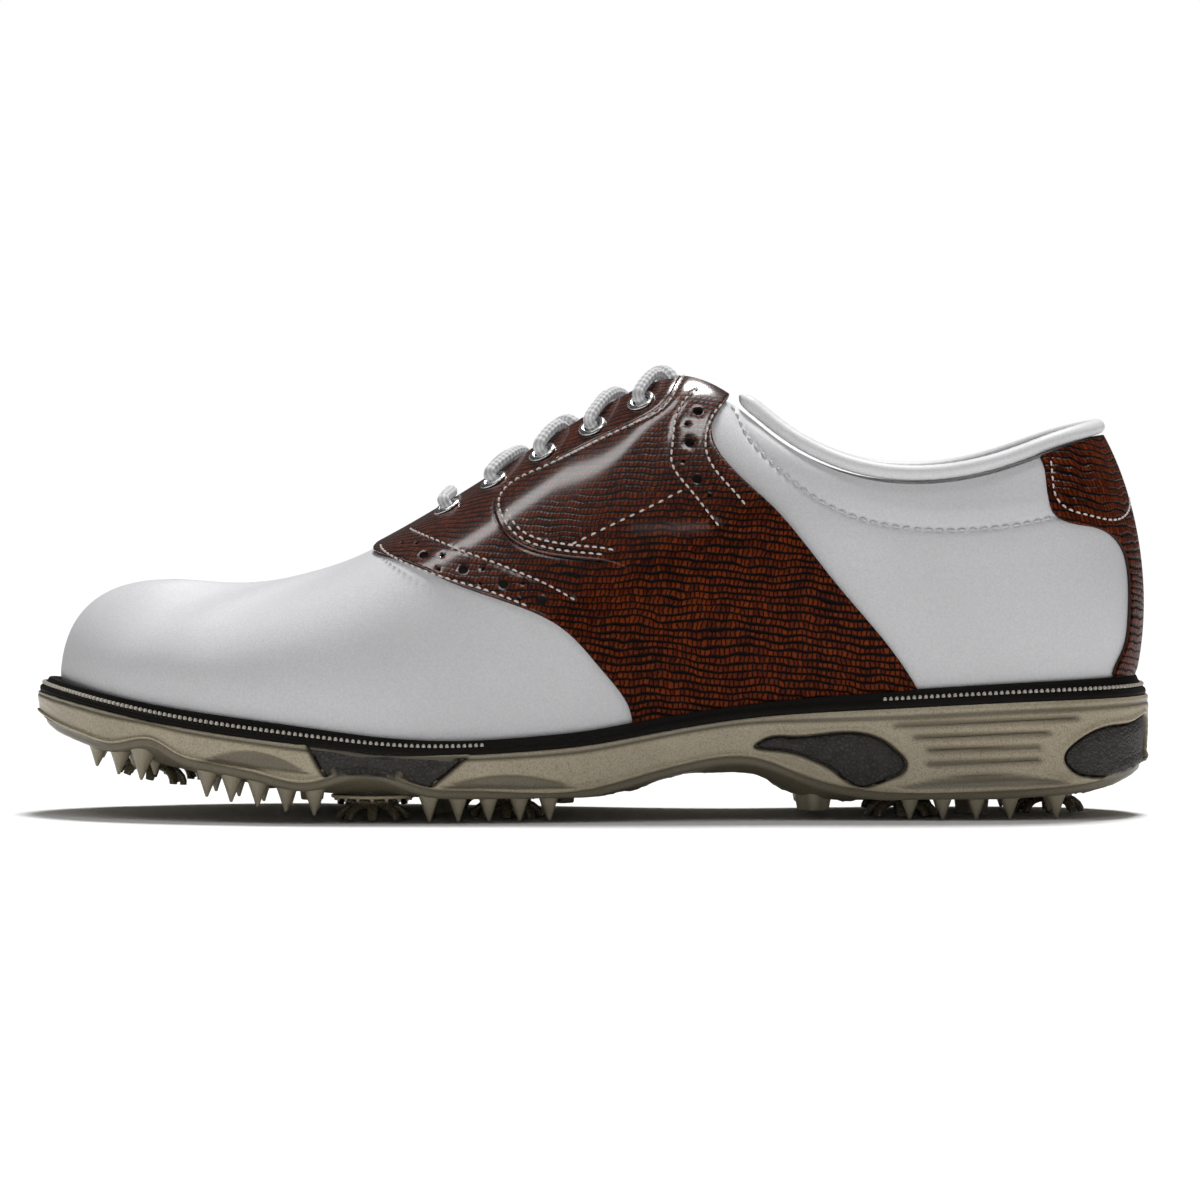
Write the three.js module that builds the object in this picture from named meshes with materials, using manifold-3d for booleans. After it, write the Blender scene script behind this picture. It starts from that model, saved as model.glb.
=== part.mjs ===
// A laced saddle golf shoe for the left foot, in millimetres.
// +Z is up, the toe points to -X and the heel to +X. The outer (lateral) side of the foot is -Y.
// The origin is on the ground, under the middle of the shoe.
import * as THREE from "three";
import { mergeVertices } from "three/addons/utils/BufferGeometryUtils.js";
import Module from "manifold-3d";

const wasm = await Module();
wasm.setup();

// ---------------------------------------------------------------- driving dimensions
const GAP = 0.3; // clearance kept between neighbouring solids
const SIMPLIFIED = 0.04; // how far a face may move when a cut solid is simplified
const STATIONS = 26; // stations round the outline: 0 is the heel, 13 the toe, lateral side first
const TOE = STATIONS / 2;
const COLUMNS = 52; // lattice columns round the upper
const ROWS = 6; // lattice rows from the feather line to the top edge

const LEATHER = 1.6; // white leather, inwards from the upper's face
const OVERLAY = { inner: GAP, outer: 1.6 }; // brown leather, outwards from the upper's face
const STIFFENER = { outer: -1.9, inner: -2.7 };
const LINING = { outer: -3.0, thickness: 0.8 };
const PADDING_THICKNESS = 3.6; // collar foam at its thickest
const OVERLAP = 8; // how far the white pieces run under the saddle
const WELT_PROJECTION = 5; // how far the sole's edge stands out past the upper
const TOE_PROJECTION = 1.5; // how much further it stands out at the toe
const FLOOR = 5; // thickness of the outsole's floor
const WALL = 7; // thickness of the outsole's side walls
const FOOTBED_THICKNESS = 4.7;
const WELT_WIDTH = 13;

// Outline of the sole's edge, from the heel to the toe: [x, lateral y, medial y].
const OUTLINE = [
  [152.5, 0, 0],
  [147.5, -19, 19],
  [133, -31.5, 32],
  [108, -37, 37],
  [76, -37.5, 34.5],
  [43, -38, 31],
  [11, -43, 33.5],
  [-21, -49.5, 42],
  [-53, -54, 51.5],
  [-83, -52, 54],
  [-110, -43.5, 49.5],
  [-133, -28.5, 38.5],
  [-147.5, -9, 24.5],
  [-152.5, 8, 8],
];

// Heights along the shoe: [x, z]. The lip is the lower edge of the sole's side, with two scallops.
const SOLE_TOP = [
  [-153, 33.6], [-138, 30.5], [-125, 27.9], [-107, 24.8], [-74, 20.7], [-53, 18.6], [-35, 18.3],
  [-17, 19.2], [-3, 20.4], [12, 22.8], [33, 26.4], [53, 28.6], [77, 30], [118, 32], [153, 32.9],
];
const FEATHER = [
  [-148, 37], [-125, 32.3], [-100, 28.6], [-78, 25.8], [-58, 23.2], [-37, 22], [-17, 22.9],
  [2, 24.9], [11, 26.5], [33, 30], [53, 32.4], [77, 34.5], [118, 37], [150, 38.3],
];
const LIP = [
  [-153, 28.5], [-146, 25.2], [-138, 22.6], [-130, 20.8], [-124, 22], [-118, 22], [-112, 18.6],
  [-106, 16.8], [-89, 13.6], [-76, 11.4], [-69, 13.2], [-60, 14.6], [-52, 12.4], [-44, 9.8], [-34, 9.2],
  [-3, 8.8], [13, 12.7], [29, 16.6], [44, 17.3], [57, 12.6], [75, 8.4], [105, 8.1], [123, 9],
  [138, 10.8], [153, 15.5],
];
const TREAD = [
  [-153, 26.5], [-140, 20], [-126, 16.9], [-107, 13], [-90, 10.2], [-74, 8.2], [-57, 7.1], [-40, 6.6],
  [-9, 6.6], [5, 7.2], [14, 9.2], [23, 12], [35, 12.6], [45, 11.8], [53, 7.6], [60, 5.7], [83, 5.5],
  [123, 6], [138, 8], [153, 14],
];
// Top line of the upper: the spine of the vamp, the facing's edge and the collar.
const TOP_LINE = [
  [-118, 64.4], [-110, 64.2], [-99, 63.4], [-88, 64], [-76, 66.8], [-65, 70.4], [-50, 77.9], [-33, 88],
  [-9, 103.2], [8, 112.9], [16, 116.6], [24, 118.2], [31, 116.6], [40, 111], [50, 103], [60, 97],
  [72, 92.6], [86, 90.8], [100, 91.8], [115, 95.6], [128, 100.2], [138.5, 103],
];
// Top edge at each station, from the heel to the toe: [x, half gap across the opening].
const TOP_EDGE = [
  [138.8, 0], [134.3, 12.5], [121, 23.5], [101, 28.5], [79, 28.8], [58, 24], [37, 13.5],
  [12, 7.4], [-16, 6.6], [-41, 5], [-58.5, 0], [-84, 0], [-104, 0], [-114, 0],
];
// Section of the upper at each station: how far it bulges over the feather line, how far its second
// control point lies from the top edge (as a share of the way to the feather line, plus a bulge),
// and the heights of both control points as shares of the wall's height.
const SECTION = [
  [5.1, 1, 0.8, 0.33, 0.7], [5.1, 1, 1, 0.33, 0.7], [5, 1, 1.5, 0.34, 0.7], [4.8, 1, 1.7, 0.35, 0.72],
  [4.5, 0.95, 1.6, 0.36, 0.76], [3.5, 0.75, 1, 0.36, 0.82], [2.5, 0.6, 0, 0.38, 0.88],
  [2.5, 0.52, 0, 0.4, 0.9], [2.5, 0.54, 0, 0.43, 0.93], [3, 0.6, 0, 0.47, 0.97], [3, 0.68, 0, 0.51, 1],
  [2, 0.76, 0, 0.54, 1], [0.8, 0.79, 0, 0.5, 1], [-0.3, 0.8, 0, 0.475, 1],
];

// Outlines of the leather pieces in side view: [x, z].
const SADDLE_FRONT = [
  [14, 18], [10.8, 26.8], [2.6, 41], [-8.6, 52.6], [-24.7, 59.8], [-38.2, 64.6], [-48.9, 69.2],
  [-58.5, 75.2], [-63, 81],
];
const SADDLE_BACK = [
  [94, 27], [87.9, 35.4], [67, 62.8], [48.2, 85.2], [38.4, 94.2], [33.2, 101], [32.3, 106],
  [34.6, 111], [42, 121],
];
// Front edge of the side panel: down the front strap, round the lobe and up along the eyelets.
const PANEL_EDGE = [
  [24, 18], [20, 30], [15, 44], [15, 56], [14, 64], [9, 68.2], [-0.5, 70.3], [-13, 71.8], [-21, 75],
  [-25.4, 80.5], [-25.6, 86], [-22, 89.9], [-14, 94.2], [2.2, 102.2], [18.4, 110.8], [28, 116], [34, 121.5],
];
const BACKSTAY = [
  [141, 30], [143.3, 42], [145.2, 50], [146, 60], [145.3, 70.5], [142.5, 76], [137, 78.8],
  [131, 79.8], [124.4, 82.6], [122.3, 92], [121, 112],
];

const EYELET_X = [-38.7, -26.2, -12.9, 0.6, 13.8];
const EYELET_Y = 14.2; // half the distance between the two rows of eyelets
const EYELET = { bore: 2.4, barrel: 2.9, flange: 3.8, sides: 8 };
const LACE_RADIUS = 1.5;

// Cleats: [name, x, y].
const CLEATS = [
  ["toe_lateral", -119, -13], ["toe_medial", -116, 25], ["ball_lateral", -59, -36.5],
  ["ball_medial", -61, 34], ["rear_lateral", -23, -25], ["rear_medial", -29, 20],
  ["heel_lateral", 84, -18.5], ["heel_medial", 84, 17], ["heel_back", 125, 0],
];
const CLEAT = { radius: 10, hub: 6.5, hubHeight: 2.2, legs: 8, legWidth: 3, stud: 5, studHeight: 3.6 };
const CLEAT_REACH = 5.9; // from a cleat's seat to the tips of its legs, so most seats are this high
const RECEPTACLE = { outer: 8, inner: 5.7, sides: 8 };

// Moulded teeth along both edges, as x along the shoe, and how far inside the edge they stand.
const EDGE_TEETH = [
  -140, -133, -126, -106.4, -99.4, -91.8, -83.6, -75.4, -43, -35, -26.5, -18, -10, 86, 95, 104.5, 114, 128,
];
const TOOTH = { inset: 7.2, base: 2.6, tip: 0.6, sides: 5 };
// Blunt lugs with a flat foot: [x, y, half width, reaches the ground].
const LUGS = [
  [60, -23, 3.4, false], [60, 20, 3.4, false], [104, 0, 3.4, true], [-42, -2, 3.4, true],
  [-90, 4, 3, false], [-76, -20, 2.4, false], [-80, 28, 2.4, false], [-8, -4, 2.4, false],
];

// ---------------------------------------------------------------- curves
// Natural cubic spline through [x, y] points.
function cubic(points) {
  const n = points.length;
  const x = points.map((p) => p[0]);
  const y = points.map((p) => p[1]);
  const bend = new Array(n).fill(0);
  const work = new Array(n).fill(0);
  for (let i = 1; i < n - 1; i++) {
    const share = (x[i] - x[i - 1]) / (x[i + 1] - x[i - 1]);
    const p = share * bend[i - 1] + 2;
    const step = (y[i + 1] - y[i]) / (x[i + 1] - x[i]) - (y[i] - y[i - 1]) / (x[i] - x[i - 1]);
    bend[i] = (share - 1) / p;
    work[i] = ((6 * step) / (x[i + 1] - x[i - 1]) - share * work[i - 1]) / p;
  }
  const second = new Array(n).fill(0);
  for (let i = n - 2; i > 0; i--) second[i] = bend[i] * second[i + 1] + work[i];
  return (at) => {
    let i = 0;
    while (i < n - 2 && at > x[i + 1]) i++;
    const h = x[i + 1] - x[i];
    const a = (x[i + 1] - at) / h;
    const b = (at - x[i]) / h;
    const curved = ((a ** 3 - a) * second[i] + (b ** 3 - b) * second[i + 1]) * ((h * h) / 6);
    return a * y[i] + b * y[i + 1] + curved;
  };
}

// Cubic spline through values at the whole-number stations of a closed loop.
function loop(values) {
  const WRAP = 8;
  const n = values.length;
  const points = [];
  for (let i = -WRAP; i <= n + WRAP; i++) points.push([i, values[(i + n) % n]]);
  const spline = cubic(points);
  return (u) => spline(((u % n) + n) % n);
}

// Curve through values at stations 0, 1, 2... that never overshoots them.
function monotone(values) {
  const rise = values.slice(1).map((v, i) => v - values[i]);
  const slope = values.map((_, i) => {
    if (i === 0 || i === values.length - 1) return 0;
    const [a, b] = [rise[i - 1], rise[i]];
    return a * b > 0 ? (2 * a * b) / (a + b) : 0;
  });
  return (at) => {
    const i = Math.min(Math.floor(at), values.length - 2);
    const t = at - i;
    const s = t * t * (3 - 2 * t);
    return (
      values[i] + rise[i] * s + slope[i] * t * (1 - t) ** 2 - slope[i + 1] * t * t * (1 - t)
    );
  };
}

const smooth = (low, high, v) => THREE.MathUtils.smoothstep(v, low, high);
const soleTop = cubic(SOLE_TOP);
const feather = cubic(FEATHER);
const lip = cubic(LIP);
const tread = cubic(TREAD);
const topLine = cubic(TOP_LINE);
const slopeOf = (f, x) => f(x + 0.5) - f(x - 0.5);

// ---------------------------------------------------------------- outline of the sole
const lateral = OUTLINE.map(([x, y]) => [x, y]);
const medial = OUTLINE.slice(1, -1).reverse().map(([x, , y]) => [x, y]);
const outlineX = loop([...lateral, ...medial].map((p) => p[0]));
const outlineY = loop([...lateral, ...medial].map((p) => p[1]));

function outwards(u) {
  const step = 0.02;
  const alongX = outlineX(u + step) - outlineX(u - step);
  const alongY = outlineY(u + step) - outlineY(u - step);
  return new THREE.Vector2(alongX, alongY).rotateAround(new THREE.Vector2(), Math.PI / 2).normalize();
}

// Point of the outline moved inwards.
function edgePoint(u, inset) {
  const n = outwards(u);
  return new THREE.Vector2(outlineX(u) - n.x * inset, outlineY(u) - n.y * inset);
}
if (outwards(0).x < 0) throw new Error("the outline has to run clockwise seen from above");

// ---------------------------------------------------------------- face of the upper
const sectionCurves = [0, 1, 2, 3, 4].map((i) => {
  const values = SECTION.map((row) => row[i]);
  return loop([...values, ...values.slice(1, -1).reverse()]);
});
const topX = monotone(TOP_EDGE.map((p) => p[0]));
const topGap = monotone(TOP_EDGE.map((p) => p[1]));

// Both sides of the shoe have the same stations, from 0 at the heel to 13 at the toe.
function stationOf(u) {
  return Math.min(u, STATIONS - u);
}

// Top edge of the upper at station u.
function topPoint(u) {
  const station = stationOf(u);
  const x = topX(station);
  const side = u <= TOE ? -1 : 1;
  return new THREE.Vector3(x, side * topGap(station), topLine(x));
}

// How far inside the sole's edge the upper's foot stands.
function footInset(u) {
  return WELT_PROJECTION + TOE_PROJECTION * smooth(10.5, 13, stationOf(u));
}

// Point of the upper's face: u goes round the shoe, t from the feather line (0) to the top edge (1).
function face(u, t) {
  const [bulge, share, bulgeTop, low, high] = sectionCurves.map((curve) => curve(u));
  const n = outwards(u);
  const foot = edgePoint(u, footInset(u));
  const top = topPoint(u);
  const start = new THREE.Vector3(foot.x, foot.y, feather(foot.x));
  const height = top.z - start.z;
  const first = new THREE.Vector3(start.x + n.x * bulge, start.y + n.y * bulge, start.z + low * height);
  const second = top.clone().lerp(start, share);
  second.x += n.x * bulgeTop;
  second.y += n.y * bulgeTop;
  second.z = top.z - slopeOf(topLine, top.x) * (top.x - second.x) - (1 - high) * height;
  return new THREE.CubicBezierCurve3(start, first, second, top).getPoint(t);
}

// The lattice on the upper's face. Both halves of the vamp share their points along the spine.
const lattice = { points: [], at: [], triangles: [] };
{
  const ids = new Map();
  const idAt = (i, j) => {
    const u = ((i % COLUMNS) * STATIONS) / COLUMNS;
    const spine = j === ROWS && topPoint(u).y === 0;
    const key = spine ? `${Math.min(i, COLUMNS - i)},${j}` : `${i % COLUMNS},${j}`;
    if (!ids.has(key)) {
      ids.set(key, lattice.points.length);
      lattice.points.push(face(u, j / ROWS));
      lattice.at.push([Math.min(u, STATIONS - u), j / ROWS]);
    }
    return ids.get(key);
  };
  for (let i = 0; i < COLUMNS; i++) {
    for (let j = 0; j < ROWS; j++) {
      const [a, b, c, d] = [idAt(i, j), idAt(i + 1, j), idAt(i + 1, j + 1), idAt(i, j + 1)];
      lattice.triangles.push([a, b, c], [a, c, d]);
    }
  }
}

// Direction out of the upper's face at each lattice point.
const latticeNormals = (() => {
  const normals = lattice.points.map(() => new THREE.Vector3());
  for (const [a, b, c] of lattice.triangles) {
    const [p, q, r] = [a, b, c].map((i) => lattice.points[i]);
    const n = q.clone().sub(p).cross(r.clone().sub(p));
    for (const i of [a, b, c]) normals[i].add(n);
  }
  return normals.map((n) => n.normalize());
})();
const facesOut = latticeNormals[1].dot(lattice.points[1].clone().setZ(0)) > 0;

// ---------------------------------------------------------------- solids
function geometryOf(points, triangles) {
  const geometry = new THREE.BufferGeometry();
  const positions = points.flatMap((p) => p.toArray());
  geometry.setAttribute("position", new THREE.Float32BufferAttribute(positions, 3));
  geometry.setIndex(triangles.flat());
  return geometry;
}

function solidOf(geometry) {
  const bare = geometry.clone();
  bare.deleteAttribute("normal");
  bare.deleteAttribute("uv");
  const merged = mergeVertices(bare, 1e-4);
  return new wasm.Manifold(
    new wasm.Mesh({
      numProp: 3,
      vertProperties: merged.attributes.position.array,
      triVerts: new Uint32Array(merged.index.array),
    }),
  );
}

function geometryFrom(solid) {
  const mesh = solid.getMesh();
  const geometry = new THREE.BufferGeometry();
  const positions = new Float32Array(mesh.numVert * 3);
  for (let i = 0; i < mesh.numVert; i++) {
    positions.set(mesh.vertProperties.subarray(i * mesh.numProp, i * mesh.numProp + 3), i * 3);
  }
  geometry.setAttribute("position", new THREE.BufferAttribute(positions, 3));
  geometry.setIndex(new THREE.BufferAttribute(new Uint32Array(mesh.triVerts), 1));
  return geometry;
}

// The largest body of a solid, without the crumbs that a cut can leave.
function mainBody(solid) {
  return solid.decompose().sort((a, b) => b.volume() - a.volume())[0];
}

// A layer of the whole upper between two offsets from its face, each given as f(station, t).
function layer(outer, inner) {
  const n = lattice.points.length;
  const sign = facesOut ? 1 : -1;
  const shifted = (offset) =>
    lattice.points.map((p, i) => {
      const distance = sign * offset(...lattice.at[i]);
      return p.clone().addScaledVector(latticeNormals[i], distance);
    });
  const points = [...shifted(outer), ...shifted(inner)];
  const triangles = [];
  const edges = new Map();
  for (const [a, b, c] of lattice.triangles) {
    const out = facesOut ? [a, b, c] : [a, c, b];
    triangles.push(out, [out[0] + n, out[2] + n, out[1] + n]);
    for (const [p, q] of [[out[0], out[1]], [out[1], out[2]], [out[2], out[0]]]) {
      if (edges.has(`${q},${p}`)) edges.delete(`${q},${p}`);
      else edges.set(`${p},${q}`, [p, q]);
    }
  }
  for (const [p, q] of edges.values()) triangles.push([q, p, p + n], [q, p + n, q + n]);
  return solidOf(geometryOf(points, triangles));
}

const even = (v) => () => v;

// A solid of a side-view outline, from y = from to y = to.
function prism(outline, from, to) {
  const shape = new THREE.Shape(outline.map(([x, z]) => new THREE.Vector2(x, z)));
  const geometry = new THREE.ExtrudeGeometry(shape, { depth: to - from, bevelEnabled: false });
  geometry.rotateX(Math.PI / 2);
  geometry.translate(0, to, 0);
  return solidOf(geometry);
}

// Points along a curve through side-view points.
function smoothLine(points, steps) {
  return new THREE.SplineCurve(points.map(([x, z]) => new THREE.Vector2(x, z)))
    .getPoints(steps)
    .map((p) => [p.x, p.y]);
}

const shiftX = (line, by) => line.map(([x, z]) => [x + by, z]);

// A side-view line moved to its left by a distance. A closed outline is followed round its ends.
function offset(line, by, closed = false) {
  const n = line.length;
  const leftOf = (a, b) => new THREE.Vector2(a[1] - b[1], b[0] - a[0]).normalize();
  return line.map((p, i) => {
    const before = closed ? line[(i + n - 1) % n] : line[Math.max(i - 1, 0)];
    const after = closed ? line[(i + 1) % n] : line[Math.min(i + 1, n - 1)];
    const first = before === p ? leftOf(p, after) : leftOf(before, p);
    const second = after === p ? first : leftOf(p, after);
    const mitre = first.clone().add(second).multiplyScalar(by / (1 + first.dot(second)));
    return [p[0] + mitre.x, p[1] + mitre.y];
  });
}
const BEYOND = { front: -170, back: 170, below: -5, above: 140, side: 80 };
const LINE_STEPS = 16;
const saddleFront = smoothLine(SADDLE_FRONT, LINE_STEPS);
const saddleBack = smoothLine(SADDLE_BACK, LINE_STEPS);
const panelEdge = smoothLine(PANEL_EDGE, 24);
const backstayEdge = smoothLine(BACKSTAY, LINE_STEPS);

const upFrom = (line) => [...line, [line.at(-1)[0], BEYOND.above]];
const inFrontOf = (line) => [...upFrom(line), [BEYOND.front, BEYOND.above], [BEYOND.front, BEYOND.below]];
const behind = (line) => [...upFrom(line), [BEYOND.back, BEYOND.above], [BEYOND.back, BEYOND.below]];
const bothSides = (outline) => prism(outline, -BEYOND.side, BEYOND.side);
const oneSide = (outline, side) =>
  side < 0 ? prism(outline, -BEYOND.side, -GAP / 2) : prism(outline, GAP / 2, BEYOND.side);

// A closed slab: rings of the sole's outline from bottom to top, each with its inset (a number, or a
// function of u) and its height along x.
function slab(rings, columns = COLUMNS) {
  const points = [];
  const triangles = [];
  for (const { inset, z } of rings) {
    for (let i = 0; i < columns; i++) {
      const u = (i * STATIONS) / columns;
      const p = edgePoint(u, typeof inset === "function" ? inset(u) : inset);
      points.push(new THREE.Vector3(p.x, p.y, z(p.x)));
    }
  }
  for (let r = 0; r < rings.length - 1; r++) {
    for (let i = 0; i < columns; i++) {
      const next = (i + 1) % columns;
      const [a, b] = [r * columns + i, r * columns + next];
      triangles.push([b, a, a + columns], [b, a + columns, b + columns]);
    }
  }
  const top = (rings.length - 1) * columns;
  for (let i = 0; i < columns / 2; i++) {
    const [a, b] = [i, i + 1];
    const [c, d] = [(columns - i - 1) % columns, (columns - i) % columns];
    const quad = [[a, b, c], [a, c, d]].filter((t) => new Set(t).size === 3);
    for (const [p, q, r] of quad) triangles.push([p, q, r], [top + p, top + r, top + q]);
  }
  return solidOf(geometryOf(points, triangles));
}

const tall = (f, by) => (x) => f(x) + by;

// A tube along a curve.
function tube(points, radius, steps, sides) {
  const section = new THREE.Shape();
  for (let i = 0; i < sides; i++) {
    const angle = (2 * Math.PI * i) / sides;
    const [x, y] = [radius * Math.cos(angle), radius * Math.sin(angle)];
    if (i === 0) section.moveTo(x, y);
    else section.lineTo(x, y);
  }
  section.closePath();
  const path = new THREE.CatmullRomCurve3(points, false, "centripetal");
  return new THREE.ExtrudeGeometry(section, { steps, bevelEnabled: false, extrudePath: path });
}

// ---------------------------------------------------------------- where things stand on the upper
// Station and t of the point of the lateral half of the face with this x and |y|, near the throat.
function findOnFace(x, y) {
  let [u, t] = [8, 0.8];
  const step = 0.001;
  for (let i = 0; i < 12; i++) {
    const p = face(u, t);
    const du = face(u + step, t).sub(p).divideScalar(step);
    const dt = p.clone().sub(face(u, t - step)).divideScalar(step);
    const [ex, ey] = [x - p.x, -y - p.y];
    const det = du.x * dt.y - du.y * dt.x;
    u = THREE.MathUtils.clamp(u + (ex * dt.y - ey * dt.x) / det, 4, 12);
    t = THREE.MathUtils.clamp(t + (du.x * ey - du.y * ex) / det, 0.2, 1);
  }
  return { u, t };
}

function normalAt(u, t) {
  const step = 0.01;
  const along = face(u + step, t).sub(face(u - step, t));
  const up = face(u, Math.min(t + step, 1)).sub(face(u, t - step));
  const n = along.cross(up).normalize();
  return n.z < 0 ? n.negate() : n;
}

const eyelets = EYELET_X.map((x) => {
  const { u, t } = findOnFace(x, EYELET_Y);
  return { point: face(u, t), normal: normalAt(u, t) };
});
const mirrored = (v, side) => new THREE.Vector3(v.x, side < 0 ? v.y : -v.y, v.z);
const eyeletAt = (i, side) => ({
  point: mirrored(eyelets[i].point, side),
  normal: mirrored(eyelets[i].normal, side),
});

// The turn that takes +Z to the given direction.
function turnTo(direction) {
  return new THREE.Quaternion().setFromUnitVectors(new THREE.Vector3(0, 0, 1), direction);
}

// Turns geometry built along +Z so that +Z becomes the given direction, and moves it.
function place(geometry, point, direction) {
  return geometry.clone().applyQuaternion(turnTo(direction)).translate(point.x, point.y, point.z);
}

// Lathe turned about +Z instead of +Y, from [radius, z] points.
function turned(profile, sides) {
  const geometry = new THREE.LatheGeometry(profile.map(([r, z]) => new THREE.Vector2(r, z)), sides);
  return geometry.rotateX(Math.PI / 2);
}

// ---------------------------------------------------------------- the shoe
const shoe = new THREE.Group();
shoe.name = "golf_shoe";
const bottom = new THREE.Group();
const cleats = new THREE.Group();
const upper = new THREE.Group();
const closure = new THREE.Group();
shoe.add(bottom, upper, closure);
bottom.add(cleats);

const FINISH = {
  white: { color: 0xe9e9e8, roughness: 0.42, metalness: 0 },
  brown: { color: 0x5a1f0c, roughness: 0.3, metalness: 0 },
  lining: { color: 0xb9bbbd, roughness: 0.85, metalness: 0 },
  binding: { color: 0xb5b7ba, roughness: 0.7, metalness: 0 },
  sole: { color: 0x8d836a, roughness: 0.45, metalness: 0 },
  inlay: { color: 0x3c3833, roughness: 0.55, metalness: 0 },
  welt: { color: 0x2b2925, roughness: 0.6, metalness: 0 },
  cleat: { color: 0x55492f, roughness: 0.35, metalness: 0 },
  board: { color: 0x9a7b4f, roughness: 0.9, metalness: 0 },
  plastic: { color: 0x2e2c28, roughness: 0.5, metalness: 0 },
  foam: { color: 0xd8d8d4, roughness: 0.95, metalness: 0 },
  eyelet: { color: 0xd9d9d6, roughness: 0.25, metalness: 0.3 },
  lace: { color: 0xdcdcda, roughness: 0.9, metalness: 0 },
  steel: { color: 0x8b8f94, roughness: 0.35, metalness: 1 },
};

const materials = Object.fromEntries(
  Object.entries(FINISH).map(([name, look]) => [name, new THREE.MeshStandardMaterial(look)]),
);

function add(group, name, shape, finish) {
  const geometry = shape.isBufferGeometry ? shape : geometryFrom(shape.simplify(SIMPLIFIED));
  const mesh = new THREE.Mesh(geometry, materials[finish]);
  mesh.name = name;
  group.add(mesh);
  return mesh;
}

// Adds a part built round +Z and sets it on a point, along a direction.
function addAt(group, name, shape, finish, point, direction) {
  const mesh = add(group, name, shape, finish);
  mesh.position.copy(point);
  mesh.quaternion.copy(turnTo(direction));
}

const SIDES = [["lateral", -1], ["medial", 1]];

// How much foam there is under the collar at a point of the upper, from 0 to 1.
function collarFoam(station, t) {
  const round = 1 - smooth(4.2, 5.6, station);
  return round * smooth(0.58, 0.78, t) * (1 - 0.75 * smooth(0.88, 1, t));
}
// The lining comes up against the facings round the throat.
function liningFace(station, t) {
  const facing = smooth(5.6, 6.6, station) * (1 - smooth(9.4, 10, station)) * smooth(0.6, 0.8, t);
  return LINING.outer + facing * 1.1 - PADDING_THICKNESS * collarFoam(station, t);
}

// Cuts the holes for the eyelets of the given sides.
function withEyeletHoles(solid, sides) {
  const radius = EYELET.barrel + 0.4;
  const hole = new THREE.CylinderGeometry(radius, radius, 12, EYELET.sides).rotateX(Math.PI / 2);
  let cut = solid;
  for (const side of sides) {
    for (let i = 0; i < EYELET_X.length; i++) {
      const { point, normal } = eyeletAt(i, side);
      cut = cut.subtract(solidOf(place(hole, point, normal)));
    }
  }
  return cut;
}

function addUpper() {
  const white = layer(even(0), even(-LEATHER));
  const brown = layer(even(OVERLAY.outer), even(OVERLAY.inner));
  const stiff = layer(even(STIFFENER.outer), even(STIFFENER.inner));
  const lining = layer(liningFace, (s, t) => liningFace(s, t) - LINING.thickness);
  const vampLine = shiftX(saddleFront, OVERLAP);

  add(upper, "vamp", mainBody(white.intersect(bothSides(inFrontOf(vampLine)))), "white");
  const toeRegion = inFrontOf([[-108, BEYOND.below], [-112, BEYOND.above]]);
  add(upper, "toe_puff", mainBody(stiff.intersect(bothSides(toeRegion))), "foam");
  const heelRegion = [[92, BEYOND.below], [170, BEYOND.below], [170, 74], [104, 74], [92, 50]];
  add(upper, "heel_counter", mainBody(stiff.intersect(bothSides(heelRegion))), "foam");

  const liningSeam = [[-20, BEYOND.below], [-44, 60], [-60, BEYOND.above]];
  const rear = lining.intersect(bothSides(behind(shiftX(liningSeam, GAP))));
  add(upper, "vamp_lining", mainBody(lining.intersect(bothSides(inFrontOf(liningSeam)))), "lining");
  add(upper, "quarter_lining", mainBody(withEyeletHoles(rear, [-1, 1])), "lining");

  const quarterRegion = behind(shiftX(vampLine, GAP));
  const saddleRegion = [...upFrom(saddleFront), ...upFrom(saddleBack).reverse()];
  for (const [name, side] of SIDES) {
    const saddle = brown.intersect(oneSide(saddleRegion, side));
    const eyestay = saddle.intersect(oneSide(inFrontOf(offset(panelEdge, GAP)), side));
    const panel = saddle.intersect(oneSide(behind(panelEdge), side));
    const quarter = white.intersect(oneSide(quarterRegion, side));
    add(upper, `eyestay_${name}`, mainBody(withEyeletHoles(eyestay, [side])), "brown");
    add(upper, `saddle_${name}`, mainBody(panel), "brown");
    add(upper, `quarter_${name}`, mainBody(withEyeletHoles(quarter, [side])), "white");
  }
  add(upper, "backstay", mainBody(brown.intersect(bothSides(behind(backstayEdge)))), "brown");
}

// Foam between the quarters and the lining, and the rolled binding along the collar's edge.
function addCollar() {
  const inner = (s, t) => Math.min(liningFace(s, t) + GAP, -LEATHER - GAP - 0.5);
  const foam = layer(even(-LEATHER - GAP), inner);
  const DEPTH = 17;
  const band = [];
  for (let x = 52; x <= 136; x += 7) band.push([x, topLine(x) - DEPTH]);
  const region = [...band, [170, topLine(138) - DEPTH], [170, 120], [48, 120], [48, 88]];
  add(upper, "collar_padding", mainBody(foam.intersect(bothSides(region))), "foam");

  const FIRST = 5.92;
  const LIFT = 3;
  const RADIUS = 2.3;
  const STEPS = 13;
  const rim = (station) => {
    const p = topPoint(station);
    const slope = slopeOf(topLine, p.x);
    const lift = new THREE.Vector3(-slope, 0, 1).setLength(LIFT);
    return p.add(lift).setY(p.y * 0.94);
  };
  const points = [];
  for (let i = -STEPS; i <= STEPS; i++) {
    const p = rim((FIRST * Math.abs(i)) / STEPS);
    points.push(i < 0 ? p : p.setY(-p.y));
  }
  add(upper, "collar_binding", tube(points, RADIUS, 30, 7), "binding");
}

// The tongue lies under the facings and leaves room for the lace between them.
const TONGUE = { front: -58, back: 36, depth: 7.2, thickness: 2.8, frontHalf: 15, backHalf: 19 };

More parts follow.
